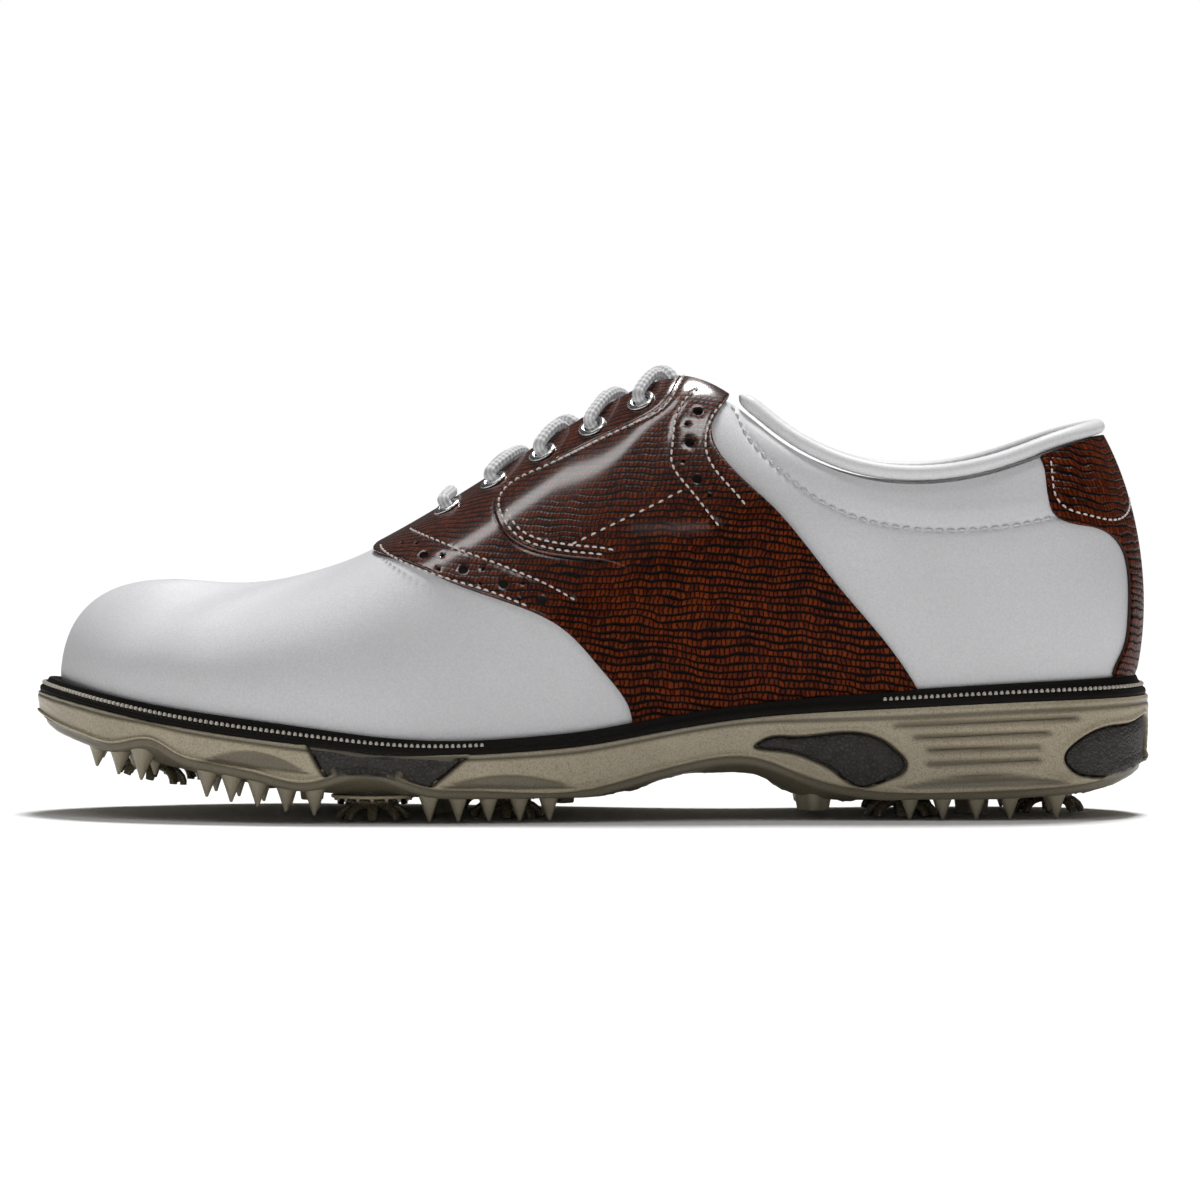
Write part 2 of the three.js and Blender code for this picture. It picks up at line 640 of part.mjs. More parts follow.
// Point at a depth below the throat's face, also where the facings leave it open.
function underThroat(x, y, depth) {
  const half = Math.max(topGap(stationOfTop(x)), 3);
  const reach = Math.max(Math.abs(y), half + 0.5);
  const { u, t } = findOnFace(x, reach);
  const p = face(u, t).addScaledVector(normalAt(u, t), -depth);
  if (Math.abs(y) < reach) {
    const share = Math.abs(y) / reach;
    p.z += (1 - share * share) * 0.4;
    p.y = -Math.abs(y);
  }
  return y < 0 ? p : p.setY(-p.y);
}

function stationOfTop(x) {
  let best = 4;
  for (let station = 4; station < 12; station += 0.05) {
    if (Math.abs(topX(station) - x) < Math.abs(topX(best) - x)) best = station;
  }
  return best;
}

function addTongue() {
  const LENGTHWAYS = 10;
  const ACROSS = 6;
  const width = ACROSS + 1;
  const sheet = (depth) => {
    const points = [];
    for (let i = 0; i <= LENGTHWAYS; i++) {
      const x = THREE.MathUtils.lerp(TONGUE.front, TONGUE.back, i / LENGTHWAYS);
      const half = THREE.MathUtils.lerp(TONGUE.frontHalf, TONGUE.backHalf, i / LENGTHWAYS);
      for (let j = 0; j <= ACROSS; j++) points.push(underThroat(x, half * ((2 * j) / ACROSS - 1), depth));
    }
    return points;
  };
  const points = [...sheet(TONGUE.depth), ...sheet(TONGUE.depth + TONGUE.thickness)];
  const n = points.length / 2;
  const triangles = [];
  const quad = (a, b, c, d) => triangles.push([a, b, c], [a, c, d]);
  const id = (i, j) => i * width + j;
  for (let i = 0; i < LENGTHWAYS; i++) {
    for (let j = 0; j < ACROSS; j++) {
      quad(id(i, j), id(i + 1, j), id(i + 1, j + 1), id(i, j + 1));
      quad(n + id(i, j), n + id(i, j + 1), n + id(i + 1, j + 1), n + id(i + 1, j));
    }
    quad(id(i, 0), n + id(i, 0), n + id(i + 1, 0), id(i + 1, 0));
    quad(id(i, ACROSS), id(i + 1, ACROSS), n + id(i + 1, ACROSS), n + id(i, ACROSS));
  }
  for (let j = 0; j < ACROSS; j++) {
    quad(id(0, j), id(0, j + 1), n + id(0, j + 1), n + id(0, j));
    quad(id(LENGTHWAYS, j), n + id(LENGTHWAYS, j), n + id(LENGTHWAYS, j + 1), id(LENGTHWAYS, j + 1));
  }
  add(upper, "tongue", geometryOf(points, triangles), "lining");
}

function addEyelets() {
  const { bore, barrel, flange, sides } = EYELET;
  const top = OVERLAY.outer + GAP;
  const profile = [
    [bore, -3.2], [barrel, -3.2], [barrel, top], [flange, top], [bore + 0.3, top + 0.9], [bore, -3.2],
  ];
  const ring = turned(profile, sides);
  for (const [name, side] of SIDES) {
    for (let i = 0; i < EYELET_X.length; i++) {
      const { point, normal } = eyeletAt(i, side);
      addAt(closure, `eyelet_${name}_${i + 1}`, ring, "eyelet", point, normal);
    }
  }
}

// One lace: a bar over the lowest eyelets, one crossing inside, then three outside, and both ends
// tucked in between the tongue and the facings.
function addLace() {
  const along = (i, side, height) => {
    const { point, normal } = eyeletAt(i, side);
    return point.clone().addScaledVector(normal, height);
  };
  const OVER = 4.4; // height of the lace's centre line over the upper's face
  const UNDER = 5;
  const CROSS = 1.8; // how far the two halves of the lace part where they cross
  const through = (i, side) => [OVER, 2.2, -2, -UNDER].map((height) => along(i, side, height));
  const at = (x, y, height) => new THREE.Vector3(x, y, topLine(x) + height);
  const half = (first, part) => {
    const x0 = EYELET_X[0];
    const points = [at(x0, first * 7, 4), ...through(0, first)];
    points.push(underThroat(x0 + 3.6, first * 6.5, UNDER));
    points.push(at((x0 + EYELET_X[1]) / 2, 0, CROSS * (part - 1) - 1.2));
    points.push(underThroat(EYELET_X[1] - 3.6, -first * 6.5, UNDER));
    let side = -first;
    for (let i = 1; i < EYELET_X.length; i++) {
      const x = EYELET_X[i];
      const next = EYELET_X[i + 1] ?? x + 14;
      points.push(...through(i, side).reverse());
      points.push(at(x + 3.5, side * 7.4, OVER));
      points.push(at((x + next) / 2 + 0.6, 0, 0.8 + part * CROSS));
      points.push(underThroat(next - 3.4, -side * 4.6, UNDER - 0.2));
      points.push(underThroat(next - 2, -side * 8.5, UNDER + 0.2));
      side = -side;
    }
    return points;
  };
  const centre = at(EYELET_X[0], 0, 3.8);
  const path = [...half(-1, -1).reverse(), centre, ...half(1, 1)];
  add(closure, "lace", tube(path, LACE_RADIUS, 110, 6), "lace");
}

// ---------------------------------------------------------------- bottom
function frustum(bottomRadius, topRadius, height, sides, turn = 0) {
  const geometry = new THREE.CylinderGeometry(topRadius, bottomRadius, height, sides);
  return geometry.rotateX(Math.PI / 2).rotateZ(turn);
}

// Seat of a cleat on its axis, and the direction of that axis. The toe's cleats follow its spring.
function cleatSeat([, x, y]) {
  const raised = tread(x) > 10;
  const axis = new THREE.Vector3(raised ? -slopeOf(tread, x) : 0, 0, 1).normalize();
  return { point: new THREE.Vector3(x, y, raised ? tread(x) : CLEAT_REACH), axis };
}

function stationAtX(x, side) {
  let best = 0;
  for (let u = 0; u <= TOE; u += 0.02) {
    if (Math.abs(outlineX(u) - x) < Math.abs(outlineX(best) - x)) best = u;
  }
  return side < 0 ? best : STATIONS - best;
}

// Teeth reach the ground where the shoe stands, and stop short of it under the toe.
const toothTip = (x) => Math.max(0, tread(x) - 6.2);

function teeth() {
  const solids = [];
  for (const x of EDGE_TEETH) {
    for (const [, side] of SIDES) {
      const p = edgePoint(stationAtX(x, side), TOOTH.inset);
      const [tip, base] = [toothTip(x), tread(p.x) + 1.5];
      const cone = frustum(TOOTH.tip, TOOTH.base + 0.5, base - tip, TOOTH.sides);
      solids.push(solidOf(cone.translate(p.x, p.y, (base + tip) / 2)));
    }
  }
  for (const [x, y, halfWidth, grounded] of LUGS) {
    const [tip, base] = [grounded ? 0 : tread(x) - 3.5, tread(x) + 1.5];
    const block = frustum(halfWidth * 1.2, halfWidth * 1.5, base - tip, 4, Math.PI / 4);
    solids.push(solidOf(block.translate(x, y, (base + tip) / 2)));
  }
  return solids;
}

// Dark inlays in both side walls, as outlines in side view.
const INLAYS = {
  fore: [[-71, 12.6], [-75.5, 19.4], [-55, 17.4], [-35, 17], [-44.5, 10.8], [-59, 14.6]],
  mid: [
    [44, 20.2], [47, 22.2], [60, 23.4], [72, 23.8], [78, 22.2], [83, 18.4], [84.6, 14.6], [80, 12],
    [72.8, 9.4], [66, 13.4], [58, 17],
  ],
  heel: [[160, 15.2], [135, 11.4], [130, 13.2], [127.8, 16.6], [132, 21.8], [140, 25.6], [160, 27.4]],
};
const INLAY_DEPTH = 2.4;
const INLAY_INNERMOST = 8; // inlays stay outside this |y|

// Everything of the sole that lies deeper than this under its side faces.
function core(depth) {
  return slab([
    { inset: depth + 3.9, z: tall(tread, -20) },
    { inset: depth + 0.6, z: lip },
    { inset: depth, z: tall(soleTop, 10) },
  ]);
}

function addBottom() {
  const fine = 1.5 * COLUMNS;
  const rim = (x) => Math.max(tread(x), lip(x) - 2.6);
  const body = slab(
    [
      { inset: 12, z: tread },
      { inset: 5, z: rim },
      { inset: 0.6, z: lip },
      { inset: 0, z: tall(soleTop, -3) },
      { inset: 1, z: soleTop },
    ],
    fine,
  );
  const pocket = slab([{ inset: WALL, z: tall(tread, FLOOR) }, { inset: WALL, z: tall(soleTop, 10) }]);
  let outsole = body.subtract(pocket);
  for (const tooth of teeth()) outsole = outsole.add(tooth);

  const boss = frustum(CLEAT.radius + 0.4, CLEAT.radius + 1.5, 3, 10);
  const recess = frustum(CLEAT.radius + 1.4, CLEAT.radius + 1.4, 12, 10);
  const holeRadius = RECEPTACLE.outer + 2 * GAP;
  const hole = frustum(holeRadius, holeRadius, 30, RECEPTACLE.sides);
  for (const cleat of CLEATS) {
    const { point, axis } = cleatSeat(cleat);
    const along = (distance) => point.clone().addScaledVector(axis, distance);
    outsole = outsole.add(solidOf(place(boss, along(2.1), axis)));
    outsole = outsole.subtract(solidOf(place(recess, along(-5.4), axis)));
    outsole = outsole.subtract(solidOf(place(hole, point, axis)));
  }
  const skin = body.subtract(core(INLAY_DEPTH));
  const deeper = core(INLAY_DEPTH + GAP);
  for (const [at, outline] of Object.entries(INLAYS)) {
    for (const [name, side] of SIDES) {
      const cut = outerSide(offset(outline, GAP, true), side, INLAY_INNERMOST - GAP);
      outsole = outsole.subtract(cut.subtract(deeper));
      const piece = skin.intersect(outerSide(outline, side, INLAY_INNERMOST));
      add(bottom, `inlay_${at}_${name}`, mainBody(piece), "inlay");
    }
  }
  add(bottom, "outsole", mainBody(outsole), "sole");

  const shankLine = (x) => soleTop(x) - 1.4;
  const strip = (from, to, half, up, down) => {
    const top = [];
    const bottom = [];
    for (let i = 0; i <= 8; i++) {
      const x = THREE.MathUtils.lerp(from, to, i / 8);
      top.push([x, shankLine(x) + up]);
      bottom.push([x, shankLine(x) - down]);
    }
    return prism([...bottom, ...top.reverse()], -half, half);
  };
  const midsole = slab([
    { inset: WALL + 0.4, z: tall(tread, FLOOR + GAP) },
    { inset: WALL + 0.4, z: soleTop },
  ]);
  add(bottom, "midsole", mainBody(midsole.subtract(strip(-20.4, 95.4, 8.4, 5, 1.5))), "foam");
  add(bottom, "shank", strip(-20, 95, 8, 1.2, 0.8), "steel");

  const inner = slab([
    { inset: WELT_WIDTH, z: tall(soleTop, -5) },
    { inset: WELT_WIDTH, z: tall(feather, 5) },
  ]);
  const welt = slab([
    { inset: 1, z: tall(soleTop, GAP) },
    { inset: 1, z: tall(soleTop, 2.2) },
    { inset: 3.2, z: tall(feather, -1) },
  ]);
  add(bottom, "welt", mainBody(welt.subtract(inner)), "welt");
  const fill = WELT_WIDTH + GAP + 0.1;
  const sheet = (inset, low, high) => slab([{ inset, z: low }, { inset, z: high }]);
  add(bottom, "cork_filler", sheet(fill, tall(soleTop, GAP), tall(soleTop, 1.5)), "board");
  add(bottom, "insole_board", sheet(fill, tall(soleTop, 1.8), tall(feather, -GAP)), "board");
  const footbed = slab([
    { inset: (u) => footInset(u) + 5.6, z: tall(feather, GAP) },
    { inset: (u) => footInset(u) + 5, z: tall(feather, FOOTBED_THICKNESS) },
  ]);
  add(bottom, "footbed", footbed, "lining");
}
function outerSide(outline, side, from) {
  return side < 0 ? prism(outline, -BEYOND.side, -from) : prism(outline, from, BEYOND.side);
}

function cleatSolid() {
  const { radius, hub, hubHeight, legs, legWidth, stud, studHeight } = CLEAT;
  const SINK = 0.3;
  let cleat = solidOf(frustum(hub - 0.6, hub, hubHeight, legs).translate(0, 0, SINK - hubHeight / 2));
  cleat = cleat.add(solidOf(frustum(stud, stud, studHeight, legs).translate(0, 0, studHeight / 2)));
  for (let i = 0; i < legs; i++) {
    const outline = [[2.5, 0], [2.5, -1.8], [8.2, -CLEAT_REACH], [radius, -CLEAT_REACH], [7.6, 0]];
    const leg = prism(outline, -legWidth / 2, legWidth / 2);
    cleat = cleat.add(leg.rotate([0, 0, (360 * i) / legs]));
  }
  return geometryFrom(cleat);
}

function addCleats() {
  const cleat = cleatSolid();
  const { outer, inner, sides } = RECEPTACLE;
  const [low, high] = [0.9, FLOOR - 0.6];
  const ring = turned([[inner, low], [outer, low], [outer, high], [inner, high], [inner, low]], sides);
  for (const row of CLEATS) {
    const { point, axis } = cleatSeat(row);
    addAt(cleats, `cleat_${row[0]}`, cleat, "cleat", point, axis);
    addAt(bottom, `receptacle_${row[0]}`, ring, "plastic", point, axis);
  }
}

addBottom();
addCleats();
addUpper();
addCollar();
addTongue();
addEyelets();
addLace();

export default shoe;
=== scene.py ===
"""Looks of the left golf shoe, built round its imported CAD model.

The upper is one smooth surface, face(u, t): u goes round the shoe (0 at the heel, 13 at the toe, lateral
side first) and t from the feather line up to the top edge. Every leather panel is cut out of that surface
and given its thickness. Lengths are in millimetres until a mesh is made.
"""

import math

import bmesh
import bpy
import numpy as np
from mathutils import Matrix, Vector


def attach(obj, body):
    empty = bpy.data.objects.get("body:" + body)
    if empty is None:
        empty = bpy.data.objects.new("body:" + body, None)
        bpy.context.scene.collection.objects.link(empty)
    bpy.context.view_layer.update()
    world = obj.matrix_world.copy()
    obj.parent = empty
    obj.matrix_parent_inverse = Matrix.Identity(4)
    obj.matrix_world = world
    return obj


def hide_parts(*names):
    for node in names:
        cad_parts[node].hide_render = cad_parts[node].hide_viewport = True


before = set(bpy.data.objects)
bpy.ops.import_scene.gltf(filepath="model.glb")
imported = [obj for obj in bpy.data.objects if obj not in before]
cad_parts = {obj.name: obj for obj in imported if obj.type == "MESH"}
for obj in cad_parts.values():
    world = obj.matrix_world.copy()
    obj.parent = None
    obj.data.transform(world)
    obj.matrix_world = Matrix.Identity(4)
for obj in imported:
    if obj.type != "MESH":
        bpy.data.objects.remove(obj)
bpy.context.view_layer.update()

MM = 0.001
LATERAL, MEDIAL = -1, 1
SIDES = (("lateral", LATERAL), ("medial", MEDIAL))

# ------------------------------------------------------------------ shape of the shoe, as in the CAD
STATIONS = 26
TOE = STATIONS // 2
WELT_PROJECTION = 5.0
TOE_PROJECTION = 1.5

OUTLINE = (
    (152.5, 0, 0), (147.5, -19, 19), (133, -31.5, 32), (108, -37, 37), (76, -37.5, 34.5),
    (43, -38, 31), (11, -43, 33.5), (-21, -49.5, 42), (-53, -54, 51.5), (-83, -52, 54),
    (-110, -43.5, 49.5), (-133, -28.5, 38.5), (-147.5, -9, 24.5), (-152.5, 8, 8),
)
SOLE_TOP = (
    (-153, 33.6), (-138, 30.5), (-125, 27.9), (-107, 24.8), (-74, 20.7), (-53, 18.6), (-35, 18.3),
    (-17, 19.2), (-3, 20.4), (12, 22.8), (33, 26.4), (53, 28.6), (77, 30), (118, 32), (153, 32.9),
)
FEATHER = (
    (-148, 37), (-125, 32.3), (-100, 28.6), (-78, 25.8), (-58, 23.2), (-37, 22), (-17, 22.9),
    (2, 24.9), (11, 26.5), (33, 30), (53, 32.4), (77, 34.5), (118, 37), (150, 38.3),
)
LIP = (
    (-153, 28.5), (-146, 25.2), (-138, 22.6), (-130, 20.8), (-124, 22), (-118, 22), (-112, 18.6),
    (-106, 16.8), (-89, 13.6), (-76, 11.4), (-69, 13.2), (-60, 14.6), (-52, 12.4), (-44, 9.8),
    (-34, 9.2), (-3, 8.8), (13, 12.7), (29, 16.6), (44, 17.3), (57, 12.6), (75, 8.4), (105, 8.1),
    (123, 9), (138, 10.8), (153, 15.5),
)
TREAD = (
    (-153, 26.5), (-140, 20), (-126, 16.9), (-107, 13), (-90, 10.2), (-74, 8.2), (-57, 7.1), (-40, 6.6),
    (-9, 6.6), (5, 7.2), (14, 9.2), (23, 12), (35, 12.6), (45, 11.8), (53, 7.6), (60, 5.7), (83, 5.5),
    (123, 6), (138, 8), (153, 14),
)
TOP_LINE = (
    (-118, 64.4), (-110, 64.2), (-99, 63.4), (-88, 64), (-76, 66.8), (-65, 70.4), (-50, 77.9), (-33, 88),
    (-9, 103.2), (8, 112.9), (16, 116.6), (24, 118.2), (31, 116.6), (40, 111), (50, 103), (60, 97),
    (72, 92.6), (86, 90.8), (100, 91.8), (115, 95.6), (128, 100.2), (138.5, 103),
)
TOP_EDGE = (
    (138.8, 0), (134.3, 12.5), (121, 23.5), (101, 28.5), (79, 28.8), (58, 24), (37, 13.5),
    (12, 7.4), (-16, 6.6), (-41, 5), (-58.5, 0), (-84, 0), (-104, 0), (-114, 0),
)
SECTION = (
    (5.1, 1, 0.8, 0.33, 0.7), (5.1, 1, 1, 0.33, 0.7), (5, 1, 1.5, 0.34, 0.7), (4.8, 1, 1.7, 0.35, 0.72),
    (4.5, 0.95, 1.6, 0.36, 0.76), (3.5, 0.75, 1, 0.36, 0.82), (2.5, 0.6, 0, 0.38, 0.88),
    (2.5, 0.52, 0, 0.4, 0.9), (2.5, 0.54, 0, 0.43, 0.93), (3, 0.6, 0, 0.47, 0.97), (3, 0.68, 0, 0.51, 1),
    (2, 0.76, 0, 0.54, 1), (0.8, 0.79, 0, 0.5, 1), (-0.3, 0.8, 0, 0.475, 1),
)


def natural(points):
    """Natural cubic spline through (x, y) points, as a function of arrays."""
    x, y = np.array(points, float).T
    n = len(x)
    bend, work, second = np.zeros(n), np.zeros(n), np.zeros(n)
    for i in range(1, n - 1):
        share = (x[i] - x[i - 1]) / (x[i + 1] - x[i - 1])
        p = share * bend[i - 1] + 2
        step = (y[i + 1] - y[i]) / (x[i + 1] - x[i]) - (y[i] - y[i - 1]) / (x[i] - x[i - 1])
        bend[i] = (share - 1) / p
        work[i] = (6 * step / (x[i + 1] - x[i - 1]) - share * work[i - 1]) / p
    for i in range(n - 2, 0, -1):
        second[i] = bend[i] * second[i + 1] + work[i]

    def at(v):
        v = np.asarray(v, float)
        i = np.clip(np.searchsorted(x, v) - 1, 0, n - 2)
        h = x[i + 1] - x[i]
        a, b = (x[i + 1] - v) / h, (v - x[i]) / h
        curved = ((a**3 - a) * second[i] + (b**3 - b) * second[i + 1]) * h * h / 6
        return a * y[i] + b * y[i + 1] + curved

    return at


def closed(values):
    """Spline through values at the whole-number stations of a closed loop."""
    wrap, n = 8, len(values)
    spline = natural([(i, values[i % n]) for i in range(-wrap, n + wrap + 1)])
    return lambda u: spline(np.mod(u, n))


def monotone(values):
    """Curve through values at 0, 1, 2... that never overshoots them."""
    v = np.array(values, float)
    rise = np.diff(v)
    slope = np.zeros(len(v))
    product = rise[:-1] * rise[1:]
    total = rise[:-1] + rise[1:]
    slope[1:-1] = np.where(product > 0, 2 * product / np.where(total == 0, 1, total), 0)

    def at(s):
        s = np.asarray(s, float)
        i = np.clip(np.floor(s).astype(int), 0, len(v) - 2)
        t = s - i
        smooth = t * t * (3 - 2 * t)
        return v[i] + rise[i] * smooth + slope[i] * t * (1 - t) ** 2 - slope[i + 1] * t * t * (1 - t)

    return at


def smoothstep(low, high, v):
    """0 at low and 1 at high, with a smooth rise between; low may be the greater."""
    t = np.clip((np.asarray(v, float) - low) / (high - low), 0, 1)
    return t * t * (3 - 2 * t)


def bell(distance, width):
    return np.exp(-((distance / width) ** 2))


def unit(vectors):
    """Vectors brought to length 1."""
    return vectors / np.linalg.norm(vectors, axis=-1, keepdims=True)


def run_lengths(points):
    """Length along a path at each of its points."""
    return np.append(0, np.cumsum(np.linalg.norm(np.diff(points, axis=0), axis=1)))


def value_at(field, u, t):
    """A field's values at (u, t), where a plain number stands for a constant field."""
    return np.broadcast_to(field(u, t) if callable(field) else field, u.shape)


sole_top, feather, lip, tread, top_line = (natural(p) for p in (SOLE_TOP, FEATHER, LIP, TREAD, TOP_LINE))
ring = [(x, y) for x, y, _ in OUTLINE] + [(x, y) for x, _, y in OUTLINE[-2:0:-1]]
outline_x, outline_y = closed([p[0] for p in ring]), closed([p[1] for p in ring])
section = [closed([r[k] for r in SECTION] + [r[k] for r in SECTION[-2:0:-1]]) for k in range(5)]
top_x, top_gap = monotone([p[0] for p in TOP_EDGE]), monotone([p[1] for p in TOP_EDGE])


def outwards(u):
    """Plan direction out of the sole's outline."""
    step = 0.02
    along = unit(np.stack([curve(u + step) - curve(u - step) for curve in (outline_x, outline_y)], -1))
    return np.stack([-along[..., 1], along[..., 0]], -1)


def edge_point(u, inset):
    """Plan points at a distance inside the sole's outline."""
    return np.stack([outline_x(u), outline_y(u)], -1) - outwards(u) * np.asarray(inset)[..., None]


def station_of(u):
    u = np.mod(u, STATIONS)
    return np.minimum(u, STATIONS - u)


def side_of(u):
    return np.where(np.mod(u, STATIONS) <= TOE, LATERAL, MEDIAL)


def on_side(station, side):
    return station if side == LATERAL else STATIONS - station


def welt_inset(s):
    """How far the upper's foot stands inside the sole's outline."""
    return WELT_PROJECTION + TOE_PROJECTION * smoothstep(10.5, 13, s)


def top_point(s, side):
    x = top_x(s)
    return np.stack([x, side * top_gap(s), top_line(x)], -1)


def top_slope(x):
    return top_line(x + 0.5) - top_line(x - 0.5)


def face(u, t):
    """Points of the upper's face, shape (..., 3)."""
    u, t = np.broadcast_arrays(np.asarray(u, float), np.asarray(t, float))
    bulge, share, bulge_top, low, high = (curve(u) for curve in section)
    n = outwards(u)
    s = station_of(u)
    foot = edge_point(u, welt_inset(s))
    start = np.stack([foot[..., 0], foot[..., 1], feather(foot[..., 0])], -1)
    top = top_point(s, side_of(u))
    height = top[..., 2] - start[..., 2]
    first = start.copy()
    first[..., :2] += n * bulge[..., None]
    first[..., 2] += low * height
    second = top + (start - top) * share[..., None]
    second[..., :2] += n * bulge_top[..., None]
    x = top[..., 0]
    second[..., 2] = top[..., 2] - top_slope(x) * (x - second[..., 0]) - (1 - high) * height
    t = t[..., None]
    r = 1 - t
    return r**3 * start + 3 * r * r * t * first + 3 * r * t * t * second + t**3 * top


class Surface:
    """A parametric surface point(u, t), with outward normals and inversion."""

    def __init__(self, point, pole=None):
        self.point = point
        self.pole = pole

    def derivatives(self, u, t):
        step = 0.004
        du = (self.point(u + step, t) - self.point(u - step, t)) / (2 * step)
        dt = (self.point(u, t + step) - self.point(u, t - step)) / (2 * step)
        return du, dt

    def normal(self, u, t):
        if self.pole is not None:
            t = np.where(station_of(u) > self.pole, np.minimum(t, self.below_pole(u)), t)
        du, dt = self.derivatives(u, t)
        n = np.cross(dt, du)
        return n / np.maximum(np.linalg.norm(n, axis=-1, keepdims=True), 1e-9)

    def below_pole(self, u):
        """Where the parameter lines run together, the normal is taken a little lower."""
        return 1 - 0.06 * smoothstep(self.pole, self.pole + 1.2, station_of(u))

    def nearest(self, target, u, t, rounds=6):
        """Parameters of the surface's points nearest to 3-D targets, from a first guess."""
        u, t = np.array(u, float), np.array(t, float)
        for _ in range(rounds):
            off = target - self.point(u, t)
            du, dt = self.derivatives(u, t)
            a, b, c = (du * du).sum(-1), (du * dt).sum(-1), (dt * dt).sum(-1)
            p, q = (du * off).sum(-1), (dt * off).sum(-1)
            det = a * c - b * b + 1e-9
            u += np.clip((c * p - b * q) / det, -0.3, 0.3)
            t += np.clip((a * q - b * p) / det, -0.2, 0.2)
        return u, t

    def from_side(self, points, side, low=0.0, high=1.0):
        """Parameters of the points seen at (x, z) from one side of the shoe."""
        points = np.atleast_2d(np.array(points, float))
        us = on_side(np.linspace(0.3, 12.7, 125), side)
        gu, gt = np.meshgrid(us, np.linspace(low, high, 61), indexing="ij")
        grid = self.point(gu, gt)[..., [0, 2]].reshape(-1, 2)
        best = np.argmin(((grid[None] - points[:, None]) ** 2).sum(-1), 1)
        u, t = gu.ravel()[best].copy(), gt.ravel()[best].copy()
        for _ in range(8):
            off = points - self.point(u, t)[..., [0, 2]]
            du, dt = (d[..., [0, 2]] for d in self.derivatives(u, t))
            det = du[:, 0] * dt[:, 1] - du[:, 1] * dt[:, 0]
            det = np.where(np.abs(det) < 1e-3, 1e-3, det)
            u += np.clip((off[:, 0] * dt[:, 1] - off[:, 1] * dt[:, 0]) / det, -0.2, 0.2)
            t += np.clip((du[:, 0] * off[:, 1] - du[:, 1] * off[:, 0]) / det, -0.1, 0.1)
            t = np.clip(t, low - 0.08, high + 0.08)
        return u, t


upper = Surface(face, pole=11.0)


class Line:
    """A curve on a surface, through control points given by parameters."""

    def __init__(self, surface, u, t, step=1.5, loop=False, straight=False):
        self.surface, self.loop, self.straight = surface, loop, straight
        u, t = np.array(u, float), np.array(t, float)
        if loop:
            u, t = np.append(u, u[0]), np.append(t, t[0])
        control = surface.point(u, t)
        knots = np.append(0, np.cumsum(np.maximum(np.linalg.norm(np.diff(control, axis=0), axis=1), 1e-3)))
        count = max(int(knots[-1] / step), 8)
        at = np.linspace(0, knots[-1], count + 1)
        self.u, self.t = (self._through(knots, v, at) for v in (u, t))
        self.p = surface.point(self.u, self.t)

    def _through(self, knots, values, at):
        if self.straight:
            return np.interp(at, knots, values)
        if not self.loop:
            return natural(list(zip(knots, values)))(at)
        total, n = knots[-1], len(values) - 1
        points = [(knots[i % n] + total * (i // n), values[i % n]) for i in range(-4, n + 5)]
        return natural(points)(at)

    @classmethod
    def seen(cls, surface, side, points, start=None, end=None, **options):
        """From side-view points. start and end may add (station, t) ends on the edges."""
        u, t = surface.from_side(points, side)
        for extra, before in ((start, True), (end, False)):
            if extra:
                where = 0 if before else len(u)
                u = np.insert(u, where, on_side(extra[0], side))
                t = np.insert(t, where, extra[1])
        return cls(surface, u, t, **options)

    def distance(self, u, t):
        """Distance in mm from the surface's points to the line, positive on its left or inside it."""
        p = self.surface.point(u, t)
        a, b = self.p[:-1], self.p[1:]
        ab = b - a
        best = np.full(len(p), 1e9)
        which = np.zeros(len(p), int)
        at_once = 4000
        for first in range(0, len(p), at_once):
            chunk = p[first:first + at_once]
            ap = chunk[:, None] - a[None]
            k = np.clip((ap * ab).sum(-1) / (ab * ab).sum(-1), 0, 1)
            d = ((ap - ab * k[..., None]) ** 2).sum(-1)
            which[first:first + at_once] = np.argmin(d, 1)
            best[first:first + at_once] = np.min(d, 1)
        distance = np.sqrt(best)
        if self.loop:
            return np.where(self._inside(u, t), distance, -distance)
        i = which
        pu, pt = u - self.u[i], t - self.t[i]
        lu, lt = self.u[i + 1] - self.u[i], self.t[i + 1] - self.t[i]
        return np.where(lu * pt - lt * pu >= 0, distance, -distance)

    def _inside(self, u, t):
        inside = np.zeros(len(u), bool)
        for i in range(len(self.u) - 1):
            (u0, t0), (u1, t1) = (self.u[i], self.t[i]), (self.u[i + 1], self.t[i + 1])
            crosses = (t0 > t) != (t1 > t)
            if t0 != t1:
                inside ^= crosses & (u < u0 + (u1 - u0) * (t - t0) / (t1 - t0))
        return inside

    def shifted(self, by):
        """The line moved sideways on the surface, positive to its left."""
        left = np.cross(self.surface.normal(self.u, self.t), unit(np.gradient(self.p, axis=0)))
        left_is = 1 if self._left_sign(left) else -1
        u, t = self.surface.nearest(self.p + left * by * left_is, self.u, self.t)
        line = Line.__new__(Line)
        line.surface, line.loop, line.u, line.t = self.surface, self.loop, u, t
        line.p = self.surface.point(u, t)
        return line

    def _left_sign(self, left):
        i = len(self.u) // 2
        u, t = self.surface.nearest(self.p[i:i + 1] + left[i:i + 1], self.u[i:i + 1], self.t[i:i + 1])
        return self.distance(u, t)[0] > 0

    @property
    def length(self):
        return float(run_lengths(self.p)[-1])


